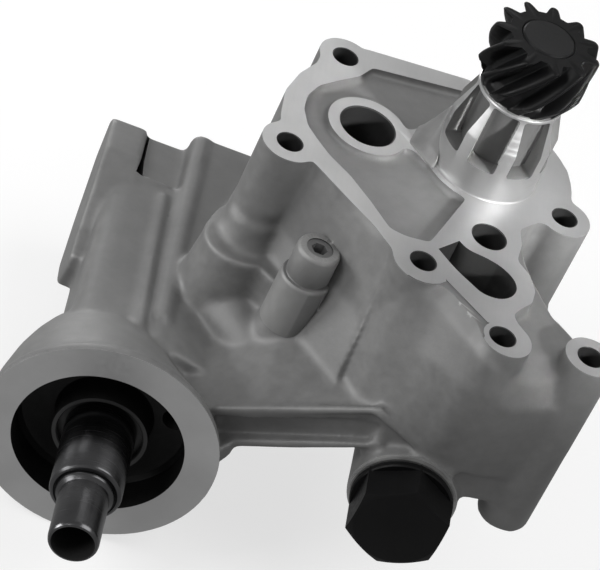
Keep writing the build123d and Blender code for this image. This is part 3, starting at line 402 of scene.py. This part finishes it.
# ------------------------------------------------------------------ materials
def material(name):
    m = bpy.data.materials.new(name)
    m.use_nodes = True
    nt = m.node_tree
    b = nt.nodes["Principled BSDF"]
    return m, nt, b


def node(nt, kind, **inputs):
    n = nt.nodes.new(kind)
    for k, v in inputs.items():
        n.inputs[k.replace("_", " ")].default_value = v
    return n


def noise_tex(nt, scale, detail=4.0, rough=0.55, stretch=None):
    co = nt.nodes.new("ShaderNodeTexCoord")
    out = co.outputs["Object"]
    if stretch is not None:
        mp = nt.nodes.new("ShaderNodeMapping")
        mp.inputs["Scale"].default_value = stretch
        nt.links.new(out, mp.inputs["Vector"])
        out = mp.outputs["Vector"]
    n = nt.nodes.new("ShaderNodeTexNoise")
    n.inputs["Scale"].default_value = scale
    n.inputs["Detail"].default_value = detail
    n.inputs["Roughness"].default_value = rough
    nt.links.new(out, n.inputs["Vector"])
    return n.outputs["Fac"]


def ramp(nt, fac, stops):
    r = nt.nodes.new("ShaderNodeValToRGB")
    els = r.color_ramp.elements
    while len(els) < len(stops):
        els.new(0.5)
    for e, (p, v) in zip(els, stops):
        e.position = p
        e.color = (v, v, v, 1.0) if not isinstance(v, tuple) else (*v, 1.0)
    nt.links.new(fac, r.inputs["Fac"])
    return r.outputs["Color"]


def mix(nt, a, b, fac, how="MIX"):
    m = nt.nodes.new("ShaderNodeMix")
    m.data_type = "RGBA"
    m.blend_type = how
    for sock, v in (("A", a), ("B", b)):
        s = [i for i in m.inputs if i.name == sock and i.type == "RGBA"][0]
        if isinstance(v, tuple):
            s.default_value = (*v, 1.0)
        else:
            nt.links.new(v, s)
    f = [i for i in m.inputs if i.name == "Factor" and i.type == "VALUE"][0]
    if isinstance(fac, float):
        f.default_value = fac
    else:
        nt.links.new(fac, f)
    return [o for o in m.outputs if o.type == "RGBA"][0]


def bump(nt, b, heights):
    """heights: list of (height socket, strength, distance in metres), chained."""
    last = None
    for h, strength, dist in heights:
        n = nt.nodes.new("ShaderNodeBump")
        n.inputs["Strength"].default_value = strength
        n.inputs["Distance"].default_value = dist
        nt.links.new(h, n.inputs["Height"])
        if last is not None:
            nt.links.new(last, n.inputs["Normal"])
        last = n.outputs["Normal"]
    nt.links.new(last, b.inputs["Normal"])


def cast_aluminium(name, painted_shade_tint=1.0):
    m, nt, b = material(name)
    # painted_shade_tint below 1 darkens the whole cast skin into painted shade; 1.0 is the plain cast colour
    grain = noise_tex(nt, 1500.0, 3.0, 0.6)
    skin = noise_tex(nt, 260.0, 5.0, 0.6)
    blotch = noise_tex(nt, 34.0, 4.0, 0.55)
    geo = nt.nodes.new("ShaderNodeNewGeometry")
    # edge: lighter colour on convex edges (high pointiness), a painted highlight along the rounded edges
    edge = ramp(nt, geo.outputs["Pointiness"], [(0.0, 0.0), (0.515, 0.0), (0.60, 1.0)])
    # hollow: darker colour in concave creases and hollows (low pointiness), painted shade
    hollow = ramp(nt, geo.outputs["Pointiness"], [(0.40, 1.0), (0.49, 0.0), (1.0, 0.0)])
    base = ramp(nt, blotch, [(0.30, (0.172 * painted_shade_tint, 0.172 * painted_shade_tint, 0.171 * painted_shade_tint)), (0.70, (0.220 * painted_shade_tint, 0.220 * painted_shade_tint, 0.218 * painted_shade_tint))])
    fine = ramp(nt, skin, [(0.35, (0.88, 0.88, 0.88)), (0.65, (1.0, 1.0, 1.0))])
    col = mix(nt, base, fine, 1.0, "MULTIPLY")
    col = mix(nt, col, (0.34 * painted_shade_tint, 0.34 * painted_shade_tint, 0.335 * painted_shade_tint), edge)
    col = mix(nt, col, (0.085 * painted_shade_tint, 0.085 * painted_shade_tint, 0.084 * painted_shade_tint), hollow)
    nt.links.new(col, b.inputs["Base Color"])
    b.inputs["Metallic"].default_value = 0.35
    rr = ramp(nt, skin, [(0.3, 0.48), (0.7, 0.62)])
    nt.links.new(rr, b.inputs["Roughness"])
    bump(nt, b, [(skin, 0.35, 0.00025), (grain, 0.30, 0.00006)])
    return m


def machined_aluminium(name, rough=0.34, lines=None, shade=0.40, metallic=0.6):
    m, nt, b = material(name)
    haze = noise_tex(nt, 60.0, 4.0, 0.5)
    marks = noise_tex(nt, 1.0, 2.0, 0.5, stretch=lines or (900.0, 60.0, 900.0))
    base = ramp(nt, haze, [(0.3, shade * 0.93), (0.7, shade * 1.05)])
    nt.links.new(base, b.inputs["Base Color"])
    b.inputs["Metallic"].default_value = metallic
    rr = ramp(nt, marks, [(0.3, rough - 0.05), (0.7, rough + 0.07)])
    nt.links.new(rr, b.inputs["Roughness"])
    bump(nt, b, [(marks, 0.18, 0.00004)])
    return m


def steel(name, colour, metallic, rough, spread=0.08, grain_scale=700.0, bump_by=0.00003, stretch=None, coat=0.0, spec=0.5):
    m, nt, b = material(name)
    b.inputs["Specular IOR Level"].default_value = spec
    g = noise_tex(nt, grain_scale if stretch is None else 1.0, 4.0, 0.6, stretch=stretch)
    h = noise_tex(nt, 90.0, 4.0, 0.55)
    lo = tuple(c * 0.82 for c in colour)
    hi = tuple(min(1.0, c * 1.18) for c in colour)
    nt.links.new(ramp(nt, h, [(0.3, lo), (0.7, hi)]), b.inputs["Base Color"])
    b.inputs["Metallic"].default_value = metallic
    nt.links.new(ramp(nt, g, [(0.3, max(0.05, rough - spread)), (0.7, rough + spread)]), b.inputs["Roughness"])
    if coat:
        b.inputs["Coat Weight"].default_value = coat
        b.inputs["Coat Roughness"].default_value = 0.25
    bump(nt, b, [(g, 0.25, bump_by)])
    return m


M_CAST = cast_aluminium("cast_aluminium")
M_MACH = machined_aluminium("machined_face")
# Bores painted near black (shade 0.022): painted shade inside the holes, not the colour of machined aluminium
M_BORE_SHADE = machined_aluminium("bore_painted_shade", rough=0.42, lines=(60.0, 60.0, 1400.0), shade=0.022, metallic=0.0)
# Turned pilot: real turned lines, with a brighter base (0.55 against 0.40) as a painted highlight for the glare on the
# pilot
M_TURN_LIT = machined_aluminium("turned_pilot_painted_sheen", rough=0.34, lines=(30.0, 30.0, 1400.0), shade=0.55, metallic=0.9)
# Filter face: milled finish made lighter than the other milled faces (0.52), painted light on this front-facing face
M_RING_LIT = machined_aluminium("filter_face_painted_light", rough=0.33, lines=(500.0, 40.0, 500.0), shade=0.52)
# Cast openings and ports: the cast skin darkened to 16 %, painted shade inside the recesses
M_DEEP_SHADE = cast_aluminium("cast_inside_painted_shade", 0.16)
M_GEAR = steel("gear_black", (0.0036, 0.0036, 0.0038), 0.0, 0.42, 0.08, spec=0.14)
M_SHAFT = steel("shaft_end", (0.0085, 0.0085, 0.0088), 0.0, 0.40, 0.06, spec=0.18)
M_PLUG = steel("plug_black", (0.0040, 0.0040, 0.0042), 0.0, 0.45, 0.07, spec=0.15)
M_STUD = steel("stud_turned", (0.115, 0.115, 0.118), 1.0, 0.24, 0.05, stretch=(40.0, 1600.0, 40.0))
# Stud bore painted near black: painted shade inside the hollow stud
M_STUD_BORE_SHADE = steel("stud_bore_painted_shade", (0.004, 0.004, 0.004), 0.0, 0.8, 0.05)
M_ZINC = steel("zinc_plate", (0.50, 0.50, 0.49), 0.9, 0.34, 0.07)
M_PIN = steel("ground_steel", (0.33, 0.33, 0.335), 1.0, 0.26, 0.05)
M_ROTOR = steel("sintered_steel", (0.30, 0.30, 0.305), 0.9, 0.42, 0.08, grain_scale=1800.0)
M_COVER = steel("cover_iron", (0.13, 0.13, 0.132), 0.6, 0.52, 0.08, grain_scale=900.0, bump_by=0.00012)
M_BRONZE = steel("bush_bronze", (0.50, 0.34, 0.16), 1.0, 0.32, 0.06)
M_RUBBER = steel("seal_rubber", (0.012, 0.012, 0.012), 0.0, 0.62, 0.05)
M_SOCKET = steel("socket_plug", (0.15, 0.15, 0.15), 0.5, 0.5, 0.08)
M_WASHER = steel("soft_washer", (0.42, 0.42, 0.415), 0.9, 0.40, 0.06)
# Filter cup: the cast skin darkened to near black, painted shade filling the deep cup
M_CUP_SHADE = cast_aluminium("cup_painted_shade", 0.022)
M_SPRING = steel("spring_wire", (0.10, 0.10, 0.105), 0.9, 0.35, 0.05)


# ------------------------------------------------------------------ housing: cast body, then machining
def slab(x0, y0, z0, x1, y1, z1):
    return lambda bm: prism(bm, [(x0, y0), (x1, y0), (x1, y1), (x0, y1)], min(z0, z1), max(z0, z1))


def bore(cx, cy, r, c0, c1, axis="Z", n=72):
    return lambda bm: rod(bm, cx, cy, [(r, c0), (r, c1)], axis, n)


def bore_p(cx, cy, profile, axis="Z", n=72):
    return lambda bm: rod(bm, cx, cy, profile, axis, n)


def slanted(p0, p1, r, n=48):
    def make(bm):
        a, b = Vector(p0) * MM, Vector(p1) * MM
        d = (b - a).normalized()
        u = d.orthogonal().normalized()
        v = d.cross(u)
        stack(bm, [[p + (u * math.cos(t) + v * math.sin(t)) * r * MM for t in [2 * math.pi * i / n for i in range(n)]] for p in (a, b)])
    return make


def rounded_rect(cx, cy, w, h, r, n=6):
    pts = []
    for sx, sy, a0 in ((1, 1, 0), (-1, 1, 90), (-1, -1, 180), (1, -1, 270)):
        for i in range(n + 1):
            a = math.radians(a0 + 90.0 * i / n)
            pts.append((cx + sx * (w / 2 - r) + r * math.cos(a), cy + sy * (h / 2 - r) + r * math.sin(a)))
    return pts


def build_tower():
    bm = bmesh.new()
    spin(bm, 0, 0, [(0, -9.0), (21.8, -9.0), (21.8, 0.0), (19.3, 0.0), (18.9, 0.3), (18.75, 0.8), (18.7, 1.4), (18.7, 19.6), (18.5, 20.5), (15.4, 30.6),
                    (15.2, 31.6), (15.1, 33.2), (14.7, 33.6), (0, 33.6)], n=160)
    tower = from_bm("tower", bm, M_TURN_LIT)
    total = None
    for k in range(8):
        a = math.radians(-104.0 + 45.0 * k)
        u, t = Vector((math.cos(a), math.sin(a), 0)), Vector((-math.sin(a), math.cos(a), 0))
        pts = rounded_rect(0, (10.8 + 32.6) / 2, 10.1, 21.8, 1.2)
        bm = bmesh.new()
        stack(bm, [[u * d * MM + t * p * MM + Vector((0, 0, z * MM)) for p, z in pts] for d in (8.0, 26.0)])
        ob = from_bm("window", bm, M_CAST)
        total = ob if total is None else boolean(total, ob, "UNION")
    bm = bmesh.new()
    rod(bm, 0, 0, [(12.4, 5.0), (12.4, 40.0)], n=160)
    boolean(total, from_bm("core", bm, M_CAST))
    boolean(tower, total)
    return tower


def build_brace():
    """Web from the land up the side of the tower: a ridge whose crest rises in a hollow curve."""
    bm = bmesh.new()
    rings = []
    n = 24
    a = math.radians(166.0)
    u, w = Vector((math.cos(a), math.sin(a), 0)), Vector((-math.sin(a), math.cos(a), 0))
    for i in range(n + 1):
        d = 25.6 - 12.0 * i / n
        rise = min(1.0, (25.6 - d) / 7.0)
        h = 0.2 + 14.6 * rise ** 1.25
        front, back = 9.8 + (25.6 - d) * 0.60, 1.8 + 1.2 * rise
        pts = [(-back, -4.0), (-back, 0.2), (-back * 0.7, 0.2 + h * 0.6), (-1.2, h), (0.2, h + 0.2), (front * 0.22, 0.2 + h * 0.80),
               (front * 0.50, 0.2 + h * 0.50), (front * 0.78, 0.2 + h * 0.20), (front, 0.2), (front, -4.0)]
        rings.append([(u * d + w * c + Vector((0, 0, z))) * MM for c, z in pts])
    stack(bm, rings)
    ob = from_bm("brace", bm, M_CAST)
    remesh(ob, 0.6)
    smooth(ob, 10)
    return ob


def arc_pocket(r0, r1, d0, d1, z0, z1):
    return lambda bm: prism(bm, ring_points(0, 0, r1, range(d0, d1 + 1, 10)) + ring_points(0, 0, r0, range(d1, d0 - 1, -10)), z0, z1)


DEPTH = {"H1": 38.0, "H2": 36.5, "H3": 35.0, "H4": 33.5, "H5": 32.0, "H6": 90.0}


def build_housing():
    body = build_cast()
    body.data.materials.clear()
    body.data.materials.append(M_CAST)
    # milled faces
    flat = cutters("flat", [slab(-150, -125, 0.0, 80, 60, 60), bore(VX, VZ, 19.4, -92.0, -97.0, "Y", 96),
                            bore(44.2, -77.8, 12.0, -82.0, -76.0)], M_MACH)
    boolean(body, flat)
    boolean(body, cutters("ring_face", [slab(-150, -125, -140, -40, -103.0, -30)], M_RING_LIT))
    # tower and its brace
    brace = build_brace()
    boolean(body, brace, "UNION")
    tower = build_tower()
    boolean(body, tower, "UNION")
    # cast openings that break through milled faces
    cast_cut = cutters("cast_cut", [
        lambda bm: prism(bm, smooth_outline(INLET, (0, 1)), -44.0, 2.0),
        slab(-6.0, -52.0, CHAMBER_TOP - 0.01, 10.0, -16.0, -40.0),
        arc_pocket(13.5, 22.5, -150, -30, CHAMBER_TOP - 0.01, -40.0), arc_pocket(13.5, 22.5, 30, 150, CHAMBER_TOP - 0.01, -40.0),
        slanted((-12.5, 14.0, -41.2), (-58.0, 14.0, -41.2), 4.8), bore(-58.0, 14.0, 4.8, -77.0, -39.0),
        slanted((MX + 22.3, 14.0, MZ + 8.0), (-58.0, 14.0, MZ + 8.0), 4.5),
        slanted((-41.7, -2.8, -52.4), (8.5, -51.5, -52.4), 2.3), bore(VX, -51.3, 2.3, VZ, -51.9),
        slanted((MX, -2.8, MZ), (-41.8, -2.8, -57.1), 6.0), bore(MX + 22.3, MZ + 8.0, 4.5, -89.0, 14.0, "Y"),
        bore(VX, -60.0, 5.0, VZ, -41.5)], M_DEEP_SHADE)
    boolean(body, cast_cut)
    cup = cutters("cup_cut", [lambda bm: spin(bm, MX, MZ, [(15.9, -104.0), (28.8, -104.0), (28.8, -90.5), (27.6, -88.6), (25.6, -88.0), (18.5, -88.0), (16.6, -88.6),
                                                           (15.9, -90.2)], "Y", 144)], M_CUP_SHADE)
    boolean(body, cup)
    bores = [bore_p(hx, hy, ([(0.4, -DEPTH[k] - 2.4)] if k != "H6" else []) + [(4.5, -DEPTH[k]), (4.5, -0.25), (5.0, 0.25)]) for k, (hx, hy, hr) in H.items()]
    bores += [bore_p(5.3, -36.7, [(6.0, -41.0), (6.0, -0.3), (6.6, 0.3)]), bore_p(-41.7, -2.8, [(9.7, -66.0), (9.7, -0.4), (10.5, 0.4)], n=96),
              bore(0, 0, 10.0, 8.6, 40.0, n=96), bore(0, 0, 9.0, -60.0, 9.0, n=96), bore(0, 0, 10.0, CHAMBER_TOP - 0.5, -30.0, n=96),
              bore(ECC, 0, CHAMBER_R, BASE - 1.0, CHAMBER_TOP, n=144),
              bore(MX, MZ, 9.0, -97.0, -76.0, "Y"), bore(MX, MZ, 7.0, -79.0, 25.0, "Y"), bore(MX, MZ, 9.0, 23.0, 36.0, "Y"),
              lambda bm: spin(bm, MX, MZ, [(0, -104.5), (16.2, -104.5), (16.2, -99.0), (14.6, -99.0), (14.2, -98.6), (14.2, -96.0), (0, -96.0)], "Y", 128),
              bore(VX, VZ, 11.0, -92.5, -78.0, "Y"), bore(VX, VZ, 8.0, -79.0, -54.4, "Y"), bore(VX, VZ, 5.2, -55.0, -48.4, "Y"),
              bore(-46.4, -52.4, 4.6, -32.6, -15.0)]
    boolean(body, cutters("bores", bores, M_BORE_SHADE))
    under = [bore(ECC, 0, 39.2, -130.0, BASE, n=144)]
    under += [bore(x, y, 7.0, -130.0, BASE, n=40) for x, y in ring_points(ECC, 0, COVER_BOLT_R, COVER_ANGLES + DOWEL_ANGLES)]
    boolean(body, cutters("under", under, M_MACH))
    small = [lambda bm: spin(bm, ECC, 0, [(30.5, BASE - 1.0), (31.9, BASE - 1.0), (31.9, BASE + 1.3), (30.5, BASE + 1.3)], "Z", 144)]
    small += [bore(x, y, 3.0, BASE - 1.0, BASE + 14.0, n=32) for x, y in ring_points(ECC, 0, COVER_BOLT_R, COVER_ANGLES)]
    small += [bore(x, y, 2.5, BASE - 1.0, BASE + 14.0, n=32) for x, y in ring_points(ECC, 0, COVER_BOLT_R, DOWEL_ANGLES)]
    boolean(body, cutters("small", small, M_BORE_SHADE))
    finish_mesh(body, 32.0)
    body.name = "housing_body"
    return body


def finish_mesh(ob, angle=35.0):
    bm = bmesh.new()
    bm.from_mesh(ob.data)
    bmesh.ops.dissolve_degenerate(bm, dist=1e-6, edges=bm.edges)
    loose = [v for v in bm.verts if not v.link_faces]
    bmesh.ops.delete(bm, geom=loose, context="VERTS")
    bm.to_mesh(ob.data)
    bm.free()
    for p in ob.data.polygons:
        p.use_smooth = True
    ob.data.set_sharp_from_angle(angle=math.radians(angle))


def add(ob, body, *nodes, slot=None):
    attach(ob, body)
    if nodes:
        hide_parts(*nodes)
    return ob


housing = add(build_housing(), "housing", "pump_housing", slot="cast_aluminium")


# ------------------------------------------------------------------ drive gear
def build_gear():
    z0, z1, teeth, tip, root, hub = 34.4, 57.0, 11, 18.6, 13.6, 14.9
    per = 26

    def profile(t):
        t = abs(t)
        if t < 0.07:
            return 1.0 - 0.05 * (t / 0.07) ** 2
        if t > 0.37:
            return 0.0
        x = (t - 0.07) / 0.30
        return 0.95 * 0.5 * (1.0 + math.cos(math.pi * x ** 0.92))

    zs = [z0, z0 + 0.3, z0 + 0.9] + [z0 + 1.6 + i * 0.5 for i in range(int((z1 - z0 - 2.4) / 0.5) + 1)] + [z1 - 0.55, z1 - 0.2, z1]
    rings = []
    for z in zs:
        turn = 22.8 - 50.0 * (57.0 - z) / 20.0
        env = min(tip, hub + (z - z0) * (tip - hub) / 6.5)
        base = hub - (0.6 if z < z0 + 0.1 else 0.25 if z < z0 + 0.5 else 0.0) if z < z0 + 3.4 else max(root, hub - (z - z0 - 3.4) * (hub - root) / 2.8)
        ring = []
        for i in range(teeth * per):
            a = 360.0 * i / (teeth * per)
            t = ((a - turn) * teeth / 360.0 + 0.5) % 1.0 - 0.5
            r = root + (tip - root) * profile(t)
            if z > z1 - 0.6:
                drop = (z - (z1 - 0.6)) / 0.6
                r -= 0.55 * drop * drop * (0.35 + 0.65 * (r - root) / (tip - root))
            r = max(base, min(env, r))
            ring.append(Vector((r * math.cos(math.radians(a)), r * math.sin(math.radians(a)), z)) * MM)
        rings.append(ring)
    angles = [math.radians(360.0 * i / (teeth * per)) for i in range(teeth * per)]
    for r, z in ((9.7, z1), (9.25, z1 - 0.4), (9.25, z0 + 0.3), (9.6, z0)):
        rings.append([Vector((r * math.cos(a), r * math.sin(a), z)) * MM for a in angles])
    bm = bmesh.new()
    stack(bm, rings + [rings[0]], caps=False)
    bmesh.ops.remove_doubles(bm, verts=bm.verts, dist=1e-7)
    bmesh.ops.recalc_face_normals(bm, faces=bm.faces)
    ob = from_bm("gear_teeth", bm, M_GEAR)
    bm = bmesh.new()
    bar(bm, (-20.0, 0, 37.0), (20.0, 0, 37.0), 2.0)
    boolean(ob, from_bm("pin_hole", bm, M_GEAR))
    finish_mesh(ob, 38.0)
    return ob


add(build_gear(), "rotor_shaft", "drive_gear", slot="gear_steel")


# ------------------------------------------------------------------ filter stud
def build_stud():
    prof = [(6.0, -79.6), (8.0, -79.6), (8.9, -80.5), (8.95, -96.05), (11.6, -96.05), (12.0, -96.5), (12.0, -126.3), (11.75, -127.0), (11.2, -127.5),
            (10.55, -127.6), (10.35, -127.0), (10.0, -126.8), (9.75, -127.1), (9.65, -128.2), (9.45, -128.9), (8.9, -129.4), (8.45, -129.9), (8.4, -130.6),
            (8.4, -149.4), (8.25, -150.4), (7.9, -151.1), (7.5, -151.4), (7.2, -151.3), (7.1, -150.9), (7.1, -112.0), (6.0, -110.6)]
    bm = bmesh.new()
    spin(bm, MX, MZ, prof, "Y", 128)
    ob = from_bm("stud_turning", bm, M_STUD)
    ob.data.materials.append(M_STUD_BORE_SHADE)
    # faces inside the bore take the painted-shade material
    for p in ob.data.polygons:
        c = p.center
        if math.hypot(c.x - MX * MM, c.z - MZ * MM) < 7.16 * MM:
            p.material_index = 1
    finish_mesh(ob, 24.0)
    return ob


add(build_stud(), "housing", "filter_stud", slot="stud_steel")


# ------------------------------------------------------------------ relief plug
def build_plug():
    r = 15.0 / math.cos(math.radians(30.0))
    y0, y1 = -93.6, -108.4
    bm = bmesh.new()
    prism(bm, ring_points(VX, VZ, r, [28.0 + 60.0 * i for i in range(6)]), y1, y0 + 1.0, "Y")
    ob = from_bm("plug_turning", bm, M_PLUG)
    bm = bmesh.new()
    spin(bm, VX, VZ, [(0, y0 + 2.0), (30.0, y0 + 2.0), (30.0, y1 + 8.6), (17.3, y1 + 1.55), (14.7, y1 + 0.12), (14.2, y1), (0, y1)], "Y", 144)
    boolean(ob, from_bm("chamfer", bm, M_PLUG), "INTERSECT")
    bm = bmesh.new()
    spin(bm, VX, VZ, [(0, y0), (16.9, y0), (17.2, y0 - 0.3), (17.2, y0 - 1.9), (16.8, y0 - 2.4), (0, y0 - 2.4)], "Y", 128)
    boolean(ob, from_bm("collar", bm, M_PLUG), "UNION")
    bm = bmesh.new()
    rod(bm, VX, VZ, [(10.95, y0 - 1.0), (10.95, y0 + 13.4), (10.4, y0 + 14.0)], "Y", 96)
    boolean(ob, from_bm("shank", bm, M_PLUG), "UNION")
    bm = bmesh.new()
    rod(bm, VX, VZ, [(6.6, y0 + 4.0), (6.6, y0 + 20.0)], "Y", 64)
    boolean(ob, from_bm("pocket", bm, M_PLUG))
    finish_mesh(ob, 30.0)
    return ob


add(build_plug(), "housing", "relief_plug", slot="plug_black")


# ------------------------------------------------------------------ finishes of the pieces carried over from the construction
def finish(name, mat, angle=35.0):
    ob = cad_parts[name]
    ob.data.materials.clear()
    ob.data.materials.append(mat)


for name, mat in {"drive_shaft": M_SHAFT, "gear_pin": M_PIN, "thrust_washer": M_WASHER, "upper_bush": M_BRONZE, "lower_bush": M_BRONZE,
                  "inner_rotor": M_ROTOR, "rotor_pin": M_PIN, "outer_rotor": M_ROTOR, "rotor_cover": M_COVER, "cover_seal": M_RUBBER, "cover_washers": M_ZINC,
                  "cover_bolts": M_ZINC, "cover_dowels": M_PIN, "relief_washer": M_WASHER, "relief_shim": M_WASHER,
                  "relief_plunger": M_PIN, "relief_spring": M_SPRING, "gallery_plug": M_SOCKET, "duct_plug": M_SOCKET}.items():
    finish(name, mat)


# ------------------------------------------------------------------ floor, light
def area(name, loc, aim, size, power, size_y=None, colour=(1, 1, 1)):
    d = bpy.data.lights.new(name, "AREA")
    d.energy = power
    d.color = colour
    d.shape = "RECTANGLE"
    d.size = size
    d.size_y = size_y or size
    o = bpy.data.objects.new(name, d)
    scene.collection.objects.link(o)
    o.location = loc
    o.rotation_mode = "QUATERNION"
    o.rotation_quaternion = (Vector(aim) - Vector(loc)).to_track_quat("-Z", "Y")
    return o


bm = bmesh.new()
bmesh.ops.create_grid(bm, x_segments=2, y_segments=2, size=3.0)
floor = from_bm("floor", bm)
floor.location = (-0.04, -0.04, cad_lo.z - 0.0006)
m, nt, b = material("floor_paper")
b.inputs["Base Color"].default_value = (0.35, 0.35, 0.35, 1)
b.inputs["Roughness"].default_value = 0.9
b.inputs["Emission Color"].default_value = (1, 1, 1, 1)
b.inputs["Emission Strength"].default_value = 0.66
floor.data.materials.append(m)
floor.visible_diffuse = False
floor.visible_glossy = False

world = bpy.data.worlds.new("studio")
world.use_nodes = True
bg = world.node_tree.nodes["Background"]
bg.inputs["Color"].default_value = (0.9, 0.9, 0.9, 1)
bg.inputs["Strength"].default_value = 0.36
scene.world = world
scene.view_settings.view_transform = "Standard"

AIM = (-0.04, -0.04, -0.03)


def card(name, azimuth, elevation, power, size=0.45):
    a, e = math.radians(azimuth), math.radians(elevation)
    p = Vector(AIM) + Vector((math.cos(e) * math.cos(a), math.cos(e) * math.sin(a), math.sin(e))) * 1.25
    return area(name, p, AIM, size, power)


card("left_low", 180.0, 4.6, 6.9)
card("right_high", 0.0, 62.0, 6.6, 0.9)
card("left_front", 210.0, 38.0, 4.6)
card("left_front_low", 210.0, 4.6, 2.3)
card("back", 95.0, 38.0, 1.4)
card("back_low", 110.0, 4.6, 3.2)
lamp = area("tower_lamp", (0.30, -0.34, 0.20), (0.012, -0.016, 0.010), 0.05, 0.05)
lamp.data.spread = math.radians(16.0)
